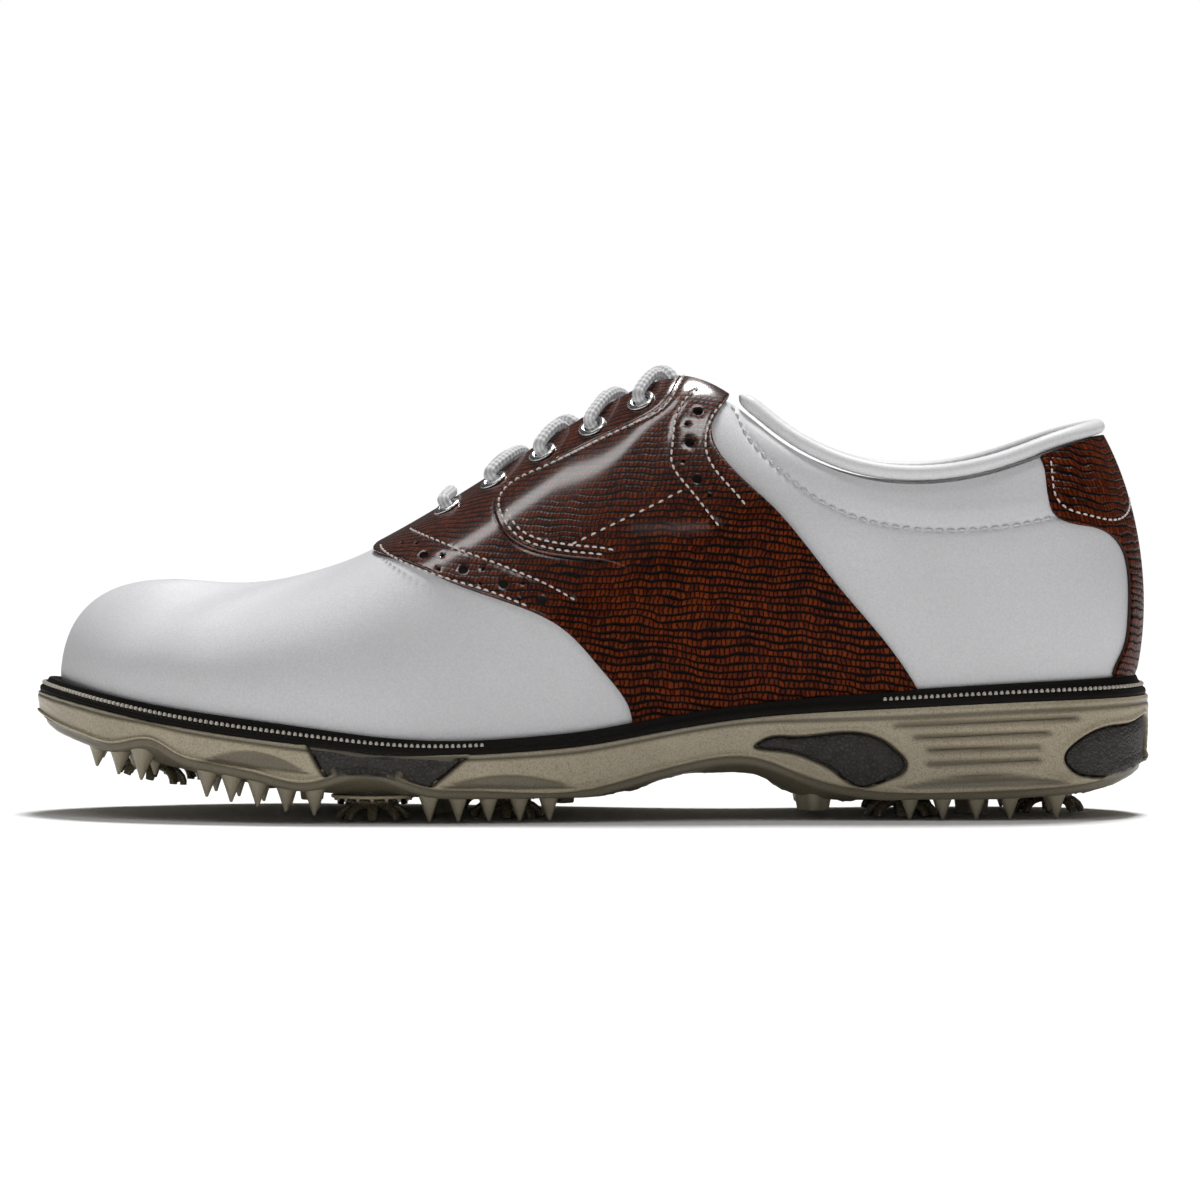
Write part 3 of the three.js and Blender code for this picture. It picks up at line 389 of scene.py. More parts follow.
# ------------------------------------------------------------------ cutting panels out of a surface
class Panel:
    """A piece of a surface as a flat mesh of its parameters, which can be cut along fields."""

    def __init__(self, surface, u_range, columns, rows, t_range=(0.0, 1.0)):
        self.surface = surface
        self.bm = bmesh.new()
        us, ts = np.linspace(*u_range, columns + 1), np.linspace(*t_range, rows + 1)
        grid = [[self.bm.verts.new((u, t, 0)) for t in ts] for u in us]
        for i in range(columns):
            for j in range(rows):
                self.bm.faces.new((grid[i][j], grid[i + 1][j], grid[i + 1][j + 1], grid[i][j + 1]))

    def params(self):
        co = np.array([v.co[:2] for v in self.bm.verts], float).reshape(-1, 2)
        return co[:, 0], co[:, 1]

    def cut(self, *fields, snap=0.06):
        """Splits faces along the zero lines of the fields."""
        for field in fields:
            self._cut(field, snap)
        return self

    def _cut(self, field, snap):
        bm = self.bm
        bm.verts.ensure_lookup_table()
        bm.verts.index_update()
        values = field(*self.params())
        near = np.abs(values) < snap
        values = np.where(near, 0, values)
        crossing = [e for e in bm.edges if values[e.verts[0].index] * values[e.verts[1].index] < 0]
        on_line = [bm.verts[i] for i in np.flatnonzero(near)]
        if crossing:
            a = np.array([e.verts[0].co[:2] for e in crossing], float)
            b = np.array([e.verts[1].co[:2] for e in crossing], float)
            va = values[[e.verts[0].index for e in crossing]]
            vb = values[[e.verts[1].index for e in crossing]]
            low, high = np.zeros(len(va)), np.ones(len(va))
            for _ in range(3):
                k = low + (high - low) * va / (va - vb)
                p = a + (b - a) * k[:, None]
                v = field(p[:, 0], p[:, 1])
                same = v * va > 0
                low, va = np.where(same, k, low), np.where(same, v, va)
                high, vb = np.where(same, high, k), np.where(same, vb, v)
            k = np.clip(k, 0.002, 0.998)
            for e, share, base in zip(crossing, k, a):
                first = e.verts[0]
                on_line.append(bmesh.utils.edge_split(e, first, float(share))[1])
        bmesh.ops.connect_verts(bm, verts=list(dict.fromkeys(on_line)))

    def refine(self, field, cuts=1):
        """Divides the faces where field is positive at a corner."""
        self.bm.verts.index_update()
        positive = field(*self.params()) > 0
        edges = [e for e in self.bm.edges if positive[e.verts[0].index] or positive[e.verts[1].index]]
        bmesh.ops.subdivide_edges(self.bm, edges=edges, cuts=cuts, use_grid_fill=True)
        return self

    def keep(self, *fields):
        """Deletes the faces whose middle isn't positive in every field."""
        faces = list(self.bm.faces)
        middle = np.array([f.calc_center_median()[:2] for f in faces], float).reshape(-1, 2)
        wanted = np.ones(len(faces), bool)
        for field in fields:
            wanted &= field(middle[:, 0], middle[:, 1]) > 0
        bmesh.ops.delete(self.bm, geom=[f for f, w in zip(faces, wanted) if not w], context="FACES")
        return self


def mesh_object(name, points, faces, materials=(), face_materials=None, uv=None, attributes=None):
    """A mesh object from points in mm. uv and attributes are per point."""
    mesh = bpy.data.meshes.new(name)
    mesh.from_pydata([tuple(p) for p in np.asarray(points) * MM], [], faces)
    for material in materials:
        mesh.materials.append(material)
    if face_materials is not None:
        mesh.polygons.foreach_set("material_index", np.asarray(face_materials, np.int32))
    for key, values in (attributes or {}).items():
        mesh.attributes.new(key, "FLOAT", "POINT").data.foreach_set("value", np.asarray(values, np.float32))
    if uv is not None:
        layer = mesh.uv_layers.new(name="grain")
        index = np.array([loop.vertex_index for loop in mesh.loops])
        layer.data.foreach_set("uv", np.asarray(uv, np.float32)[index].ravel())
    ob = bpy.data.objects.new(name, mesh)
    bpy.context.scene.collection.objects.link(ob)
    return ob


def finish_mesh(ob, weld=0.0, crease=50):
    """Welds, turns the faces outwards, triangulates big faces and makes sharp the edges over an angle."""
    bm = bmesh.new()
    bm.from_mesh(ob.data)
    if weld:
        bmesh.ops.remove_doubles(bm, verts=bm.verts, dist=weld * MM)
    bmesh.ops.triangulate(bm, faces=[f for f in bm.faces if len(f.verts) > 4])
    bmesh.ops.recalc_face_normals(bm, faces=bm.faces)
    limit = math.radians(crease)
    for f in bm.faces:
        f.smooth = True
    for e in bm.edges:
        e.smooth = len(e.link_faces) != 2 or e.calc_face_angle(0) < limit
    bm.to_mesh(ob.data)
    bm.free()
    return ob


def tabulated_lengths(surface):
    """Arc lengths over a surface: along u at about a third of its height, and along t at each u."""
    rows, level = 40, 14
    us, ts = np.linspace(-STATIONS / 2, STATIONS * 1.5, 521), np.linspace(0, 1, rows + 1)
    gu, gt = np.meshgrid(us, ts, indexing="ij")
    p = surface.point(gu, gt)
    around = run_lengths(p[:, level])
    up = np.concatenate([np.zeros((len(us), 1)), np.cumsum(np.linalg.norm(np.diff(p, axis=1), axis=2), 1)], 1)

    def at(u, t):
        fu = np.clip((u - us[0]) / (us[1] - us[0]), 0, len(us) - 1.001)
        ft = np.clip(t * rows, 0, rows - 0.001)
        i, j = fu.astype(int), ft.astype(int)
        a, b = fu - i, ft - j
        under = up[i, j] * (1 - a) + up[i + 1, j] * a
        over = up[i, j + 1] * (1 - a) + up[i + 1, j + 1] * a
        return np.stack([np.interp(u, us, around), under * (1 - b) + over * b], -1)

    return at


upper_lengths = tabulated_lengths(upper)


def edge_drop(radius, distance):
    """How much lower a sheet's top face lies near its rounded edge."""
    k = np.clip(1 - np.clip(distance, 0, None) / radius, 0, 1)
    return radius * (1 - np.sqrt(np.clip(1 - k * k, 0, 1)))


def shell(panel, name, outer, inner, materials, weld_at=None, lengths=upper_lengths, extra=None):
    """Closes a panel into a solid sheet between two heights, each a number or a field of (u, t).
    weld_at(u, t) marks boundary points that join another part of the same sheet."""
    bm, surface = panel.bm, panel.surface
    bm.verts.index_update()
    u, t = panel.params()
    p, n = surface.point(u, t), surface.normal(u, t)
    top, low = (p + n * value_at(height, u, t)[:, None] for height in (outer, inner))
    count = len(u)
    on_seam = weld_at(u, t) if weld_at else np.zeros(count, bool)
    faces, kinds = [], []
    for f in bm.faces:
        index = [v.index for v in f.verts]
        faces += [index, [i + count for i in reversed(index)]]
        kinds += [0, 0]
    for e in bm.edges:
        if len(e.link_faces) == 1:
            a, b = (v.index for v in e.verts)
            if on_seam[a] and on_seam[b]:
                continue
            faces.append([a, b, b + count, a + count])
            kinds.append(1 if len(materials) > 1 else 0)
    grain = np.concatenate([lengths(u, t)] * 2) if lengths else None
    attributes = {k: np.concatenate([v(u, t)] * 2) for k, v in (extra or {}).items()}
    ob = mesh_object(name, np.concatenate([top, low]), faces, materials, kinds, grain, attributes)
    bm.free()
    return finish_mesh(ob, weld=0.004)


# ------------------------------------------------------------------ materials
class Look:
    """Builds one node material."""

    def __init__(self, name, **sockets):
        self.material = bpy.data.materials.new(name)
        self.material.use_nodes = True
        self.tree = self.material.node_tree
        self.bsdf = self.tree.nodes["Principled BSDF"]
        self.in_mm = None
        for key, value in sockets.items():
            self.bsdf.inputs[key.replace("_", " ")].default_value = value

    def node(self, kind, sockets=None, **settings):
        node = self.tree.nodes.new("ShaderNode" + kind)
        for key, value in settings.items():
            setattr(node, key, value)
        for key, value in (sockets or {}).items():
            self.put(value, node.inputs[key])
        return node

    def put(self, value, socket):
        if isinstance(value, bpy.types.NodeSocket):
            self.tree.links.new(value, socket)
        else:
            socket.default_value = (*value, 1) if socket.type == "RGBA" else value

    def math(self, operation, a, b=0.0):
        return self.node("Math", {0: a, 1: b}, operation=operation).outputs[0]

    def add(self, a, b):
        return self.math("ADD", a, b)

    def less(self, a, b):
        return self.math("SUBTRACT", a, b)

    def times(self, a, b):
        return self.math("MULTIPLY", a, b)

    def place(self):
        """Object coordinates in mm."""
        if self.in_mm is None:
            self.in_mm = self.scaled(self.node("TexCoord").outputs["Object"], (1 / MM,) * 3)
        return self.in_mm

    def grain(self):
        return self.node("UVMap", uv_map="grain").outputs["UV"]

    def attribute(self, name):
        return self.node("Attribute", attribute_name=name).outputs["Fac"]

    def from_middle(self, value):
        """0 in the middle of each whole step of a value, 1 at its ends."""
        return self.times(self.math("ABSOLUTE", self.less(self.math("FRACT", value), 0.5)), 2.0)

    def crossed(self, x, y, turns):
        """Two crossing sets of threads."""
        a, b = (self.math("SINE", self.times(v, turns)) for v in (self.add(x, y), self.less(x, y)))
        return self.times(a, b)

    def scaled(self, vector, scale):
        return self.node("VectorMath", {0: vector, 1: scale}, operation="MULTIPLY").outputs[0]

    def split(self, vector):
        node = self.node("SeparateXYZ", {0: vector})
        return node.outputs[0], node.outputs[1], node.outputs[2]

    def join(self, x, y, z=0.0):
        return self.node("CombineXYZ", {0: x, 1: y, 2: z}).outputs[0]

    def noise(self, vector, scale, detail=2.0, centred=False):
        out = self.node("TexNoise", {"Vector": vector, "Scale": scale, "Detail": detail}).outputs["Fac"]
        return self.less(out, 0.5) if centred else out

    def voronoi(self, vector, scale, feature="F1"):
        return self.node("TexVoronoi", {"Vector": vector, "Scale": scale}, feature=feature).outputs[0]

    def map(self, value, low, high, to_low=0.0, to_high=1.0):
        node = self.node("MapRange", {0: value, 1: low, 2: high, 3: to_low, 4: to_high}, clamp=True)
        return node.outputs[0]

    def mix(self, share, a, b):
        node = self.node("Mix", data_type="RGBA")
        for key, value in ((0, share), (6, a), (7, b)):
            self.put(value, node.inputs[key])
        return node.outputs[2]

    def bump(self, height, distance, strength=1.0, normal=None):
        node = self.node("Bump", {"Strength": strength, "Distance": distance * MM, "Height": height})
        if normal:
            self.put(normal, node.inputs["Normal"])
        return node.outputs[0]

    def done(self, colour=None, roughness=None, normal=None):
        for value, key in ((colour, "Base Color"), (roughness, "Roughness"), (normal, "Normal")):
            if value is not None:
                self.put(value, self.bsdf.inputs[key])
        return self.material


def toned(colour, by):
    return tuple(c * by for c in colour)


def white_leather(name, colour=(0.71, 0.71, 0.725)):
    look = Look(name, Specular_IOR_Level=0.3)
    place = look.place()
    cells = look.voronoi(place, 1.5, "DISTANCE_TO_EDGE")
    pores = look.map(cells, 0.0, 0.16)
    cloud = look.noise(place, 0.035, 3)
    speckle = look.noise(place, 1.5, 2)
    tone = look.mix(look.map(cloud, 0.3, 0.7), colour, toned(colour, 0.94))
    tone = look.mix(look.map(speckle, 0.3, 0.7, 0.0, 0.45), tone, toned(colour, 0.74))
    rough = look.add(look.map(cloud, 0.3, 0.7, 0.36, 0.46), look.map(pores, 0, 1, 0.06, 0.0))
    normal = look.bump(pores, 0.035, 0.55, look.bump(look.noise(place, 0.25, 3), 0.12, 0.5))
    return look.done(tone, rough, normal)


def lizard_leather(name):
    """Reddish brown leather embossed with rows of small square scales between dark wavy grooves."""
    look = Look(name, Specular_IOR_Level=0.07, Coat_Roughness=0.17, Coat_IOR=2.0)
    row_height, scale_width = 2.05, 1.28
    place = look.place()
    around, upwards, _ = look.split(look.grain())
    world_x, _, world_z = look.split(place)

    wander = look.times(look.noise(place, 0.05, 2, centred=True), 6.5)
    wobble = look.times(look.noise(place, 0.22, 2, centred=True), 1.5)
    slant = look.times(world_x, 0.2)
    row = look.math("DIVIDE", look.add(look.add(look.add(upwards, wander), wobble), slant), row_height)
    index = look.math("FLOOR", row)
    edge = look.from_middle(row)
    row_luck = look.node("TexWhiteNoise", {"W": index}, noise_dimensions="1D").outputs[0]
    jitter = look.times(look.noise(place, 0.5, 1, centred=True), 1.1)
    along = look.add(look.math("DIVIDE", around, scale_width), look.times(row_luck, 7.0))
    along = look.add(along, jitter)
    across = look.from_middle(along)
    cell = look.join(look.math("FLOOR", along), index)
    scale_luck = look.node("TexWhiteNoise", {"Vector": cell}, noise_dimensions="2D").outputs[0]

    width = look.map(look.noise(place, 0.12, 2), 0.3, 0.7, 0.0, 0.34)
    groove = look.map(look.add(edge, width), 0.70, 0.96)
    gap = look.map(across, 0.62, 0.92)
    dark = look.math("MAXIMUM", groove, look.times(gap, 0.88))
    crown = look.less(1.0, look.math("POWER", edge, 2.5))
    crown = look.times(crown, look.less(1.0, look.math("POWER", across, 3.0)))

    cloud = look.noise(place, 0.05, 3)
    warm = look.mix(look.map(cloud, 0.32, 0.68), (0.044, 0.0048, 0.0007), (0.098, 0.0118, 0.0012))
    bright = look.mix(look.times(scale_luck, 0.8), warm, (0.245, 0.0400, 0.0038))
    lit = look.mix(look.times(crown, 0.55), look.mix(0.6, bright, (0.03, 0.005, 0.002)), bright)
    colour = look.mix(dark, lit, (0.0022, 0.0008, 0.0005))

    above_lobe = look.less(world_z, look.times(world_x, 0.55))
    look.put(look.map(above_lobe, 60, 88, 0.0, 0.95), look.bsdf.inputs["Coat Weight"])
    height = look.less(look.times(crown, 0.7), look.times(dark, 0.8))
    fine = look.bump(look.noise(place, 3.0, 2), 0.05, 0.35)
    rough = look.add(look.map(cloud, 0.3, 0.7, 0.30, 0.40), look.times(dark, 0.12))
    return look.done(colour, rough, look.bump(height, 0.24, 0.9, fine))


def cut_edge(name, colour):
    look = Look(name)
    place = look.place()
    fibres = look.noise(place, 2.0, 3)
    tone = look.mix(look.map(fibres, 0.3, 0.7), colour, toned(colour, 0.55))
    return look.done(tone, 0.8, look.bump(fibres, 0.1, 0.5))


def moulded(name, colour, dark, rough=0.42, grain=1.2, depth=0.06, painted_shade_attribute=None, **sockets):
    """Moulded plastic with a fine cast grain and darker patches, and painted shade in its low parts where an
    attribute marks them.
    """
    look = Look(name, **sockets)
    place = look.place()
    cloud = look.noise(place, 0.05, 3)
    speckle = look.noise(place, grain * 1.8, 2)
    tone = look.mix(look.map(cloud, 0.3, 0.7), colour, toned(colour, 0.86))
    tone = look.mix(look.map(speckle, 0.42, 0.78, 0.0, 0.55), tone, dark)
    # Painted shade: the attribute darkens the low, shaded parts towards the dark colour.
    if painted_shade_attribute:
        tone = look.mix(look.attribute(painted_shade_attribute), tone, dark)
    cast = look.noise(place, grain, 3)
    roughness = look.map(speckle, 0.3, 0.7, rough - 0.07, rough + 0.09)
    return look.done(tone, roughness, look.bump(cast, depth, 0.6))


def pebbled(name, colour):
    look = Look(name, Specular_IOR_Level=0.35)
    place = look.place()
    cells = look.voronoi(place, 0.85, "SMOOTH_F1")
    edges = look.voronoi(place, 0.85, "DISTANCE_TO_EDGE")
    # Painted shade: darker in the valleys between the pebbles.
    tone = look.mix(look.map(edges, 0.0, 0.22), toned(colour, 0.45), colour)
    worn = look.map(look.noise(place, 0.3, 3), 0.35, 0.7, 0.0, 0.6)
    normal = look.bump(look.map(edges, 0.0, 0.3), 0.22, 0.8)
    return look.done(look.mix(worn, tone, toned(colour, 1.5)), look.map(cells, 0.0, 0.6, 0.42, 0.62), normal)


def knitted(name, colour, dark, scale=0.9):
    """Fine knitted or woven cloth, with two crossing sets of threads."""
    look = Look(name, Sheen_Weight=0.25, Sheen_Roughness=0.5, Specular_IOR_Level=0.2)
    place = look.place()
    px, py, pz = look.split(place)
    x, y = look.add(px, look.times(py, 0.35)), look.add(pz, look.times(py, 0.8))
    weave = look.map(look.crossed(x, y, 2 * math.pi * scale), -1.0, 1.0)
    fuzz = look.noise(place, 1.6, 3)
    tone = look.mix(look.times(weave, 0.6), colour, dark)
    tone = look.mix(look.map(fuzz, 0.35, 0.75, 0.0, 0.4), tone, toned(colour, 0.8))
    height = look.add(weave, look.times(fuzz, 0.5))
    return look.done(tone, 0.88, look.bump(height, 0.16, 0.7))


def thread(name, colour, pitch=0.5):
    """Twisted sewing thread: diagonal plies."""
    look = Look(name, Sheen_Weight=0.3)
    x, y, z = look.split(look.place())
    slant = look.add(look.add(x, look.times(z, 0.9)), look.times(y, 0.5))
    plies = look.math("SINE", look.times(slant, 2 * math.pi / pitch))
    shade = look.map(plies, -1, 1)
    dirt_and_painted_shade = look.noise(look.place(), 0.15, 3)
    tone = look.mix(shade, toned(colour, 0.6), colour)
    tone = look.mix(look.map(dirt_and_painted_shade, 0.4, 0.7, 0.0, 0.35), tone, toned(colour, 0.7))
    return look.done(tone, 0.6, look.bump(shade, 0.08, 0.6))


def braid(name):
    """Round braided lace: crossed strands, from the tube's own coordinates."""
    look = Look(name, Sheen_Weight=0.4, Sheen_Roughness=0.4, Specular_IOR_Level=0.25)
    u, v, _ = look.split(look.grain())
    strands = look.map(look.crossed(u, v, 2 * math.pi), -0.9, 0.9)
    fuzz = look.noise(look.place(), 2.2, 3)
    # Painted shade: the cord is darker in the grooves between its strands.
    tone = look.mix(strands, (0.36, 0.36, 0.37), (0.86, 0.86, 0.87))
    tone = look.mix(look.map(fuzz, 0.35, 0.7, 0.0, 0.3), tone, (0.55, 0.55, 0.56))
    height = look.add(strands, look.times(fuzz, 0.4))
    return look.done(tone, 0.75, look.bump(height, 0.2, 0.7))


def metal(name, colour, rough):
    """Drawn metal with faint marks lengthwise."""
    look = Look(name, Metallic=1.0)
    place = look.place()
    marks = look.noise(look.scaled(place, (3.0, 0.4, 3.0)), 1.0, 3)
    tone = look.mix(look.map(marks, 0.4, 0.8, 0.0, 0.5), colour, toned(colour, 0.65))
    roughness = look.map(marks, 0.3, 0.7, rough - 0.06, rough + 0.1)
    return look.done(tone, roughness, look.bump(marks, 0.02, 0.4))


def granular(name, colour, dark, size=0.5, depth=0.3):
    """Cork or foam: packed grains."""
    look = Look(name, Specular_IOR_Level=0.2)
    place = look.place()
    cells = look.voronoi(place, size)
    edges = look.voronoi(place, size, "DISTANCE_TO_EDGE")
    tone = look.mix(look.map(cells, 0.1, 0.8), colour, dark)
    return look.done(tone, 0.9, look.bump(look.map(edges, 0.0, 0.25), depth, 0.7))


SOLE_COLOUR = (0.440, 0.376, 0.264)
SOLE_DARK = (0.062, 0.052, 0.031)
WHITE = white_leather("white_leather")
WHITE_EDGE = cut_edge("white_leather_edge", (0.42, 0.41, 0.40))
BROWN = lizard_leather("brown_leather")
BROWN_EDGE = cut_edge("brown_leather_edge", (0.032, 0.011, 0.006))
# Near-black: painted shade at the bottom of the perforations.
HOLE_SHADE = cut_edge("perforation_painted_shade", (0.006, 0.004, 0.003))
BINDING = white_leather("collar_leather", (0.80, 0.80, 0.81))
TONGUE_LEATHER = white_leather("tongue_leather", (0.60, 0.60, 0.615))
LINING = knitted("lining_fabric", (0.40, 0.40, 0.41), (0.27, 0.27, 0.28))
FOOTBED = knitted("footbed_fabric", (0.36, 0.36, 0.37), (0.22, 0.22, 0.23), 0.6)
# Its low attribute is painted shade under the lip, in the grooves, in the facets and on the tread.
SOLE = moulded("sole_plastic", SOLE_COLOUR, SOLE_DARK, 0.34, 1.3, 0.12, "low", Specular_IOR_Level=0.4)
TOOTH = moulded("sole_teeth", (0.36, 0.315, 0.22), (0.085, 0.07, 0.042), 0.26, 1.2, 0.07)
INLAY = pebbled("inlay_rubber", (0.034, 0.030, 0.026))
WELT = moulded("welt_rubber", (0.0095, 0.0085, 0.0070), (0.0035, 0.0032, 0.0028), 0.62, 1.6, 0.1,
               Specular_IOR_Level=0.09)
CLEAT = moulded("cleat_plastic", (0.120, 0.098, 0.058), (0.045, 0.036, 0.020), 0.26, 0.9, 0.05,
                Transmission_Weight=0.18, IOR=1.46)
RECEPTACLE = moulded("receptacle_plastic", (0.05, 0.047, 0.041), (0.02, 0.019, 0.017), 0.45)
EYELET_METAL = metal("eyelet_metal", (0.80, 0.80, 0.79), 0.22)
STEEL = metal("shank_steel", (0.34, 0.35, 0.36), 0.35)
LACE = braid("lace_cord")
THREAD = thread("brown_leather_thread", (0.78, 0.70, 0.64))
WHITE_THREAD = thread("white_thread", (0.70, 0.70, 0.70))
WELT_THREAD = thread("welt_thread", (0.62, 0.57, 0.48), 0.7)
FOAM = granular("foam", (0.66, 0.66, 0.64), (0.56, 0.56, 0.55), 0.9, 0.15)
STIFFENER = cut_edge("stiffener", (0.30, 0.26, 0.20))
CORK = granular("cork", (0.34, 0.21, 0.10), (0.20, 0.11, 0.05), 0.45, 0.3)


# ------------------------------------------------------------------ outlines of the leather pieces
# In side view (x, z). The same lines are used on both sides of the shoe.
SADDLE_FRONT = (
    (10.8, 27.4), (2.6, 41), (-8.6, 52.6), (-24.7, 59.8), (-38.2, 64.6), (-48.9, 69.2),
)
SADDLE_BACK = (
    (87.9, 35.6), (67, 62.8), (48.2, 85.2), (38.4, 94.2), (33.2, 101), (32.3, 105.5), (34.2, 110),
)
PANEL_EDGE = (
    (20, 32), (15, 44), (15, 56), (14, 64), (9, 68.2), (-0.5, 70.3), (-13, 71.8), (-21, 75), (-25.4, 80.5),
    (-25.6, 86), (-22, 89.9), (-14, 94.2), (2.2, 102.2), (18.4, 110.6),
)
BACKSTAY = (
    (141.4, 40), (144.2, 46), (145.6, 55), (145.6, 65), (144.2, 72), (141.2, 76.2), (137, 78.6),
    (131, 79.8), (125.2, 82.4), (123, 88), (122.2, 95),
)
COLLAR_SEAM = (
    (35.5, 114), (38.4, 111.4), (41.3, 105.5), (48.1, 97.4), (56.2, 90.1), (69.7, 82.6), (83.2, 79.3),
    (96.7, 78.5), (110.2, 79.3), (121.8, 81.2), (134, 83.6),
)
STRAP_TOP_SEAM = ((-48.8, 77.3), (-39.6, 73.9), (-27.9, 69.8), (-14, 64.5), (-4.8, 59.6))
STRAP_LOW_SEAM = ((-56.8, 72.9), (-48.3, 67.9), (-38.5, 64.8), (-28.1, 61.9), (-18, 58.1))
BAND_FRONT_SEAM = (
    (28.9, 115.2), (22.8, 107.6), (21.8, 101), (21.5, 96), (26, 89.4), (33.8, 79.7),
)
BAND_BACK_SEAM = (
    (35, 111), (32.4, 108), (30.8, 103.5), (31, 98.2), (33.6, 93.6), (39.4, 87.2), (42, 84.2),
)
DIAGONAL_SEAM = ((-6, 73.8), (2, 77.7), (10, 81.6), (18, 85.5), (26, 89.4))
BACKSTAY_SEAM = ((123.9, 96.8), (124.4, 91), (125.4, 86.6), (128, 84), (133, 82.2), (140, 80.6))
BIG_HOLES = (
    (-45.1, 71), (-34.6, 67.4), (-23.8, 63.8), (-13.6, 59.4), (28.6, 109.4), (26.4, 101.3), (28.4, 91.8),
)
SMALL_HOLES = (
    (-51, 73.9), (-47, 74), (-40.2, 71), (-41.2, 67.4), (-29.2, 67.7), (-30, 63.9), (-18.6, 64),
    (-19.6, 59.8), (25.6, 106), (24.6, 96.4), (31.6, 87.4),
)
BIG_HOLE, SMALL_HOLE = 1.35, 0.6
LAP = 8.0  # how far the white leather runs on under the brown
WHITE_DEPTH = 1.6
BROWN_BASE = 0.06
EYELET_HOLE = 3.0
STITCH_PITCH = 2.15
EYELET_X, EYELET_Y = (-38.7, -26.2, -12.9, 0.6, 13.8), 14.2


def beyond(line, station, t, side):
    """Signed distance from a line, positive on the side of the surface's point (station, t)."""
    at = line.distance(np.array([on_side(station, side)], float), np.array([t], float))[0]
    return lambda u, t: np.sign(at) * line.distance(u, t)


def less(field, by):
    """A field whose zero line is moved in by a distance."""
    return lambda u, t: field(u, t) - by


def height_at(u, z):
    """The t at which the surface at u is at height z."""
    ts = np.linspace(0, 1, 201)
    return float(np.interp(z, upper.point(np.full(201, float(u)), ts)[:, 2], ts))


def hole_field(centre, radius):
    """Distance outside a round hole through the upper."""
    return lambda u, t: np.linalg.norm(upper.point(u, t) - centre, axis=-1) - radius


def find_top(x, y, side):
    """Parameters of the upper's face at (x, |y|) near the throat."""
    station, t = 8.0, 0.8
    for _ in range(30):
        u = on_side(station, side)
        p = upper.point(u, t)[:2] - np.array([x, side * y])
        du, dt = upper.derivatives(np.array(u), np.array(t))
        du = du if side == LATERAL else -du
        m = np.array([[du[0], dt[0]], [du[1], dt[1]]])
        step = np.linalg.solve(m, -p)
        station += float(np.clip(step[0], -0.5, 0.5))
        t += float(np.clip(step[1], -0.2, 0.2))
    return on_side(station, side), t


def eyelet_seat(x, side):
    u, t = find_top(x, EYELET_Y, side)
    return upper.point(u, t), upper.normal(np.array(u), np.array(t))


EYELETS = {side: [eyelet_seat(x, side) for x in EYELET_X] for _, side in SIDES}

lines = {}
for _, side in SIDES:
    def seen(points, start=None, end=None, **options):
        return Line.seen(upper, side, points, start, end, **options)

    heel_seam = (0.0, height_at(0, 84.6))
    lines[side] = {
        "front": seen(SADDLE_FRONT, (6.0, -0.06), (10.05, 1.03)),
        "back": seen(SADDLE_BACK, (3.58, -0.06), (6.06, 1.04)),
        "panel": seen(PANEL_EDGE, (5.72, -0.06), (6.62, 1.05)),
        "backstay": seen(BACKSTAY, (0.56, -0.06), (1.93, 1.06)),
        "collar": seen(COLLAR_SEAM, None, heel_seam),
        "strap_top": seen(STRAP_TOP_SEAM),
        "strap_low": seen(STRAP_LOW_SEAM),
        "band_front": seen(BAND_FRONT_SEAM),
        "band_back": seen(BAND_BACK_SEAM),
        "diagonal": seen(DIAGONAL_SEAM),
        "backstay_seam": seen(BACKSTAY_SEAM, None, (0.0, height_at(0, 86.4))),
    }


def relief(distance):
    """How deep a stitch line pulls a sheet in."""
    return 0.22 * bell(distance, 0.55)


def cut_beside(panel, field, steps):
    """Cuts a panel along parallels of a line, so that its height can change there."""
    for step in steps:
        panel.cut(less(field, step))


EDGE_STEPS = (0, 0.28, 0.7)


def at_throat(u, t):
    """Where the vamp's two layers of the same sheet meet at the top."""
    return (t > 0.999) & (station_of(u) > 9.99)


def foot_tuck(t, depth, height):
    """Draws a sheet in where it goes under the welt."""
    return depth * smoothstep(height, 0.0, t)


def piece(ob, body, slot, *nodes):
    if nodes:
        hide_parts(*nodes)
    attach(ob, body)
    return ob


# ------------------------------------------------------------------ white leather
def build_vamp():
    width = 7.7
    panel = Panel(upper, (TOE - width, TOE + width), 250, 46)
    fields = {side: beyond(lines[side]["front"], 12, 0.5, side) for _, side in SIDES}

    def front(u, t):
        values = np.where(u <= TOE, 1.0, -1.0)
        out = np.zeros(len(u))
        for _, side in SIDES:
            mine = values * -side > 0
            if mine.any():
                out[mine] = fields[side](u[mine], t[mine])
        return out

    panel.cut(less(front, -LAP)).keep(less(front, -LAP))

    def outer(u, t):
        p = upper.point(u, t)
        soft = 0.22 * np.sin(p[:, 0] / 13.0 + 1.2) * np.sin(p[:, 1] / 11.0 + 0.6)
        flex = 0.5 * bell(p[:, 0] + 75, 14) * smoothstep(0.45, 0.9, t)
        return soft * smoothstep(0.1, 0.5, t) - flex - foot_tuck(t, 0.25, 0.06)

    ob = shell(panel, "vamp_leather", outer, -WHITE_DEPTH, (WHITE, WHITE_EDGE), weld_at=at_throat)
    piece(ob, "shoe", "white_leather", "vamp")


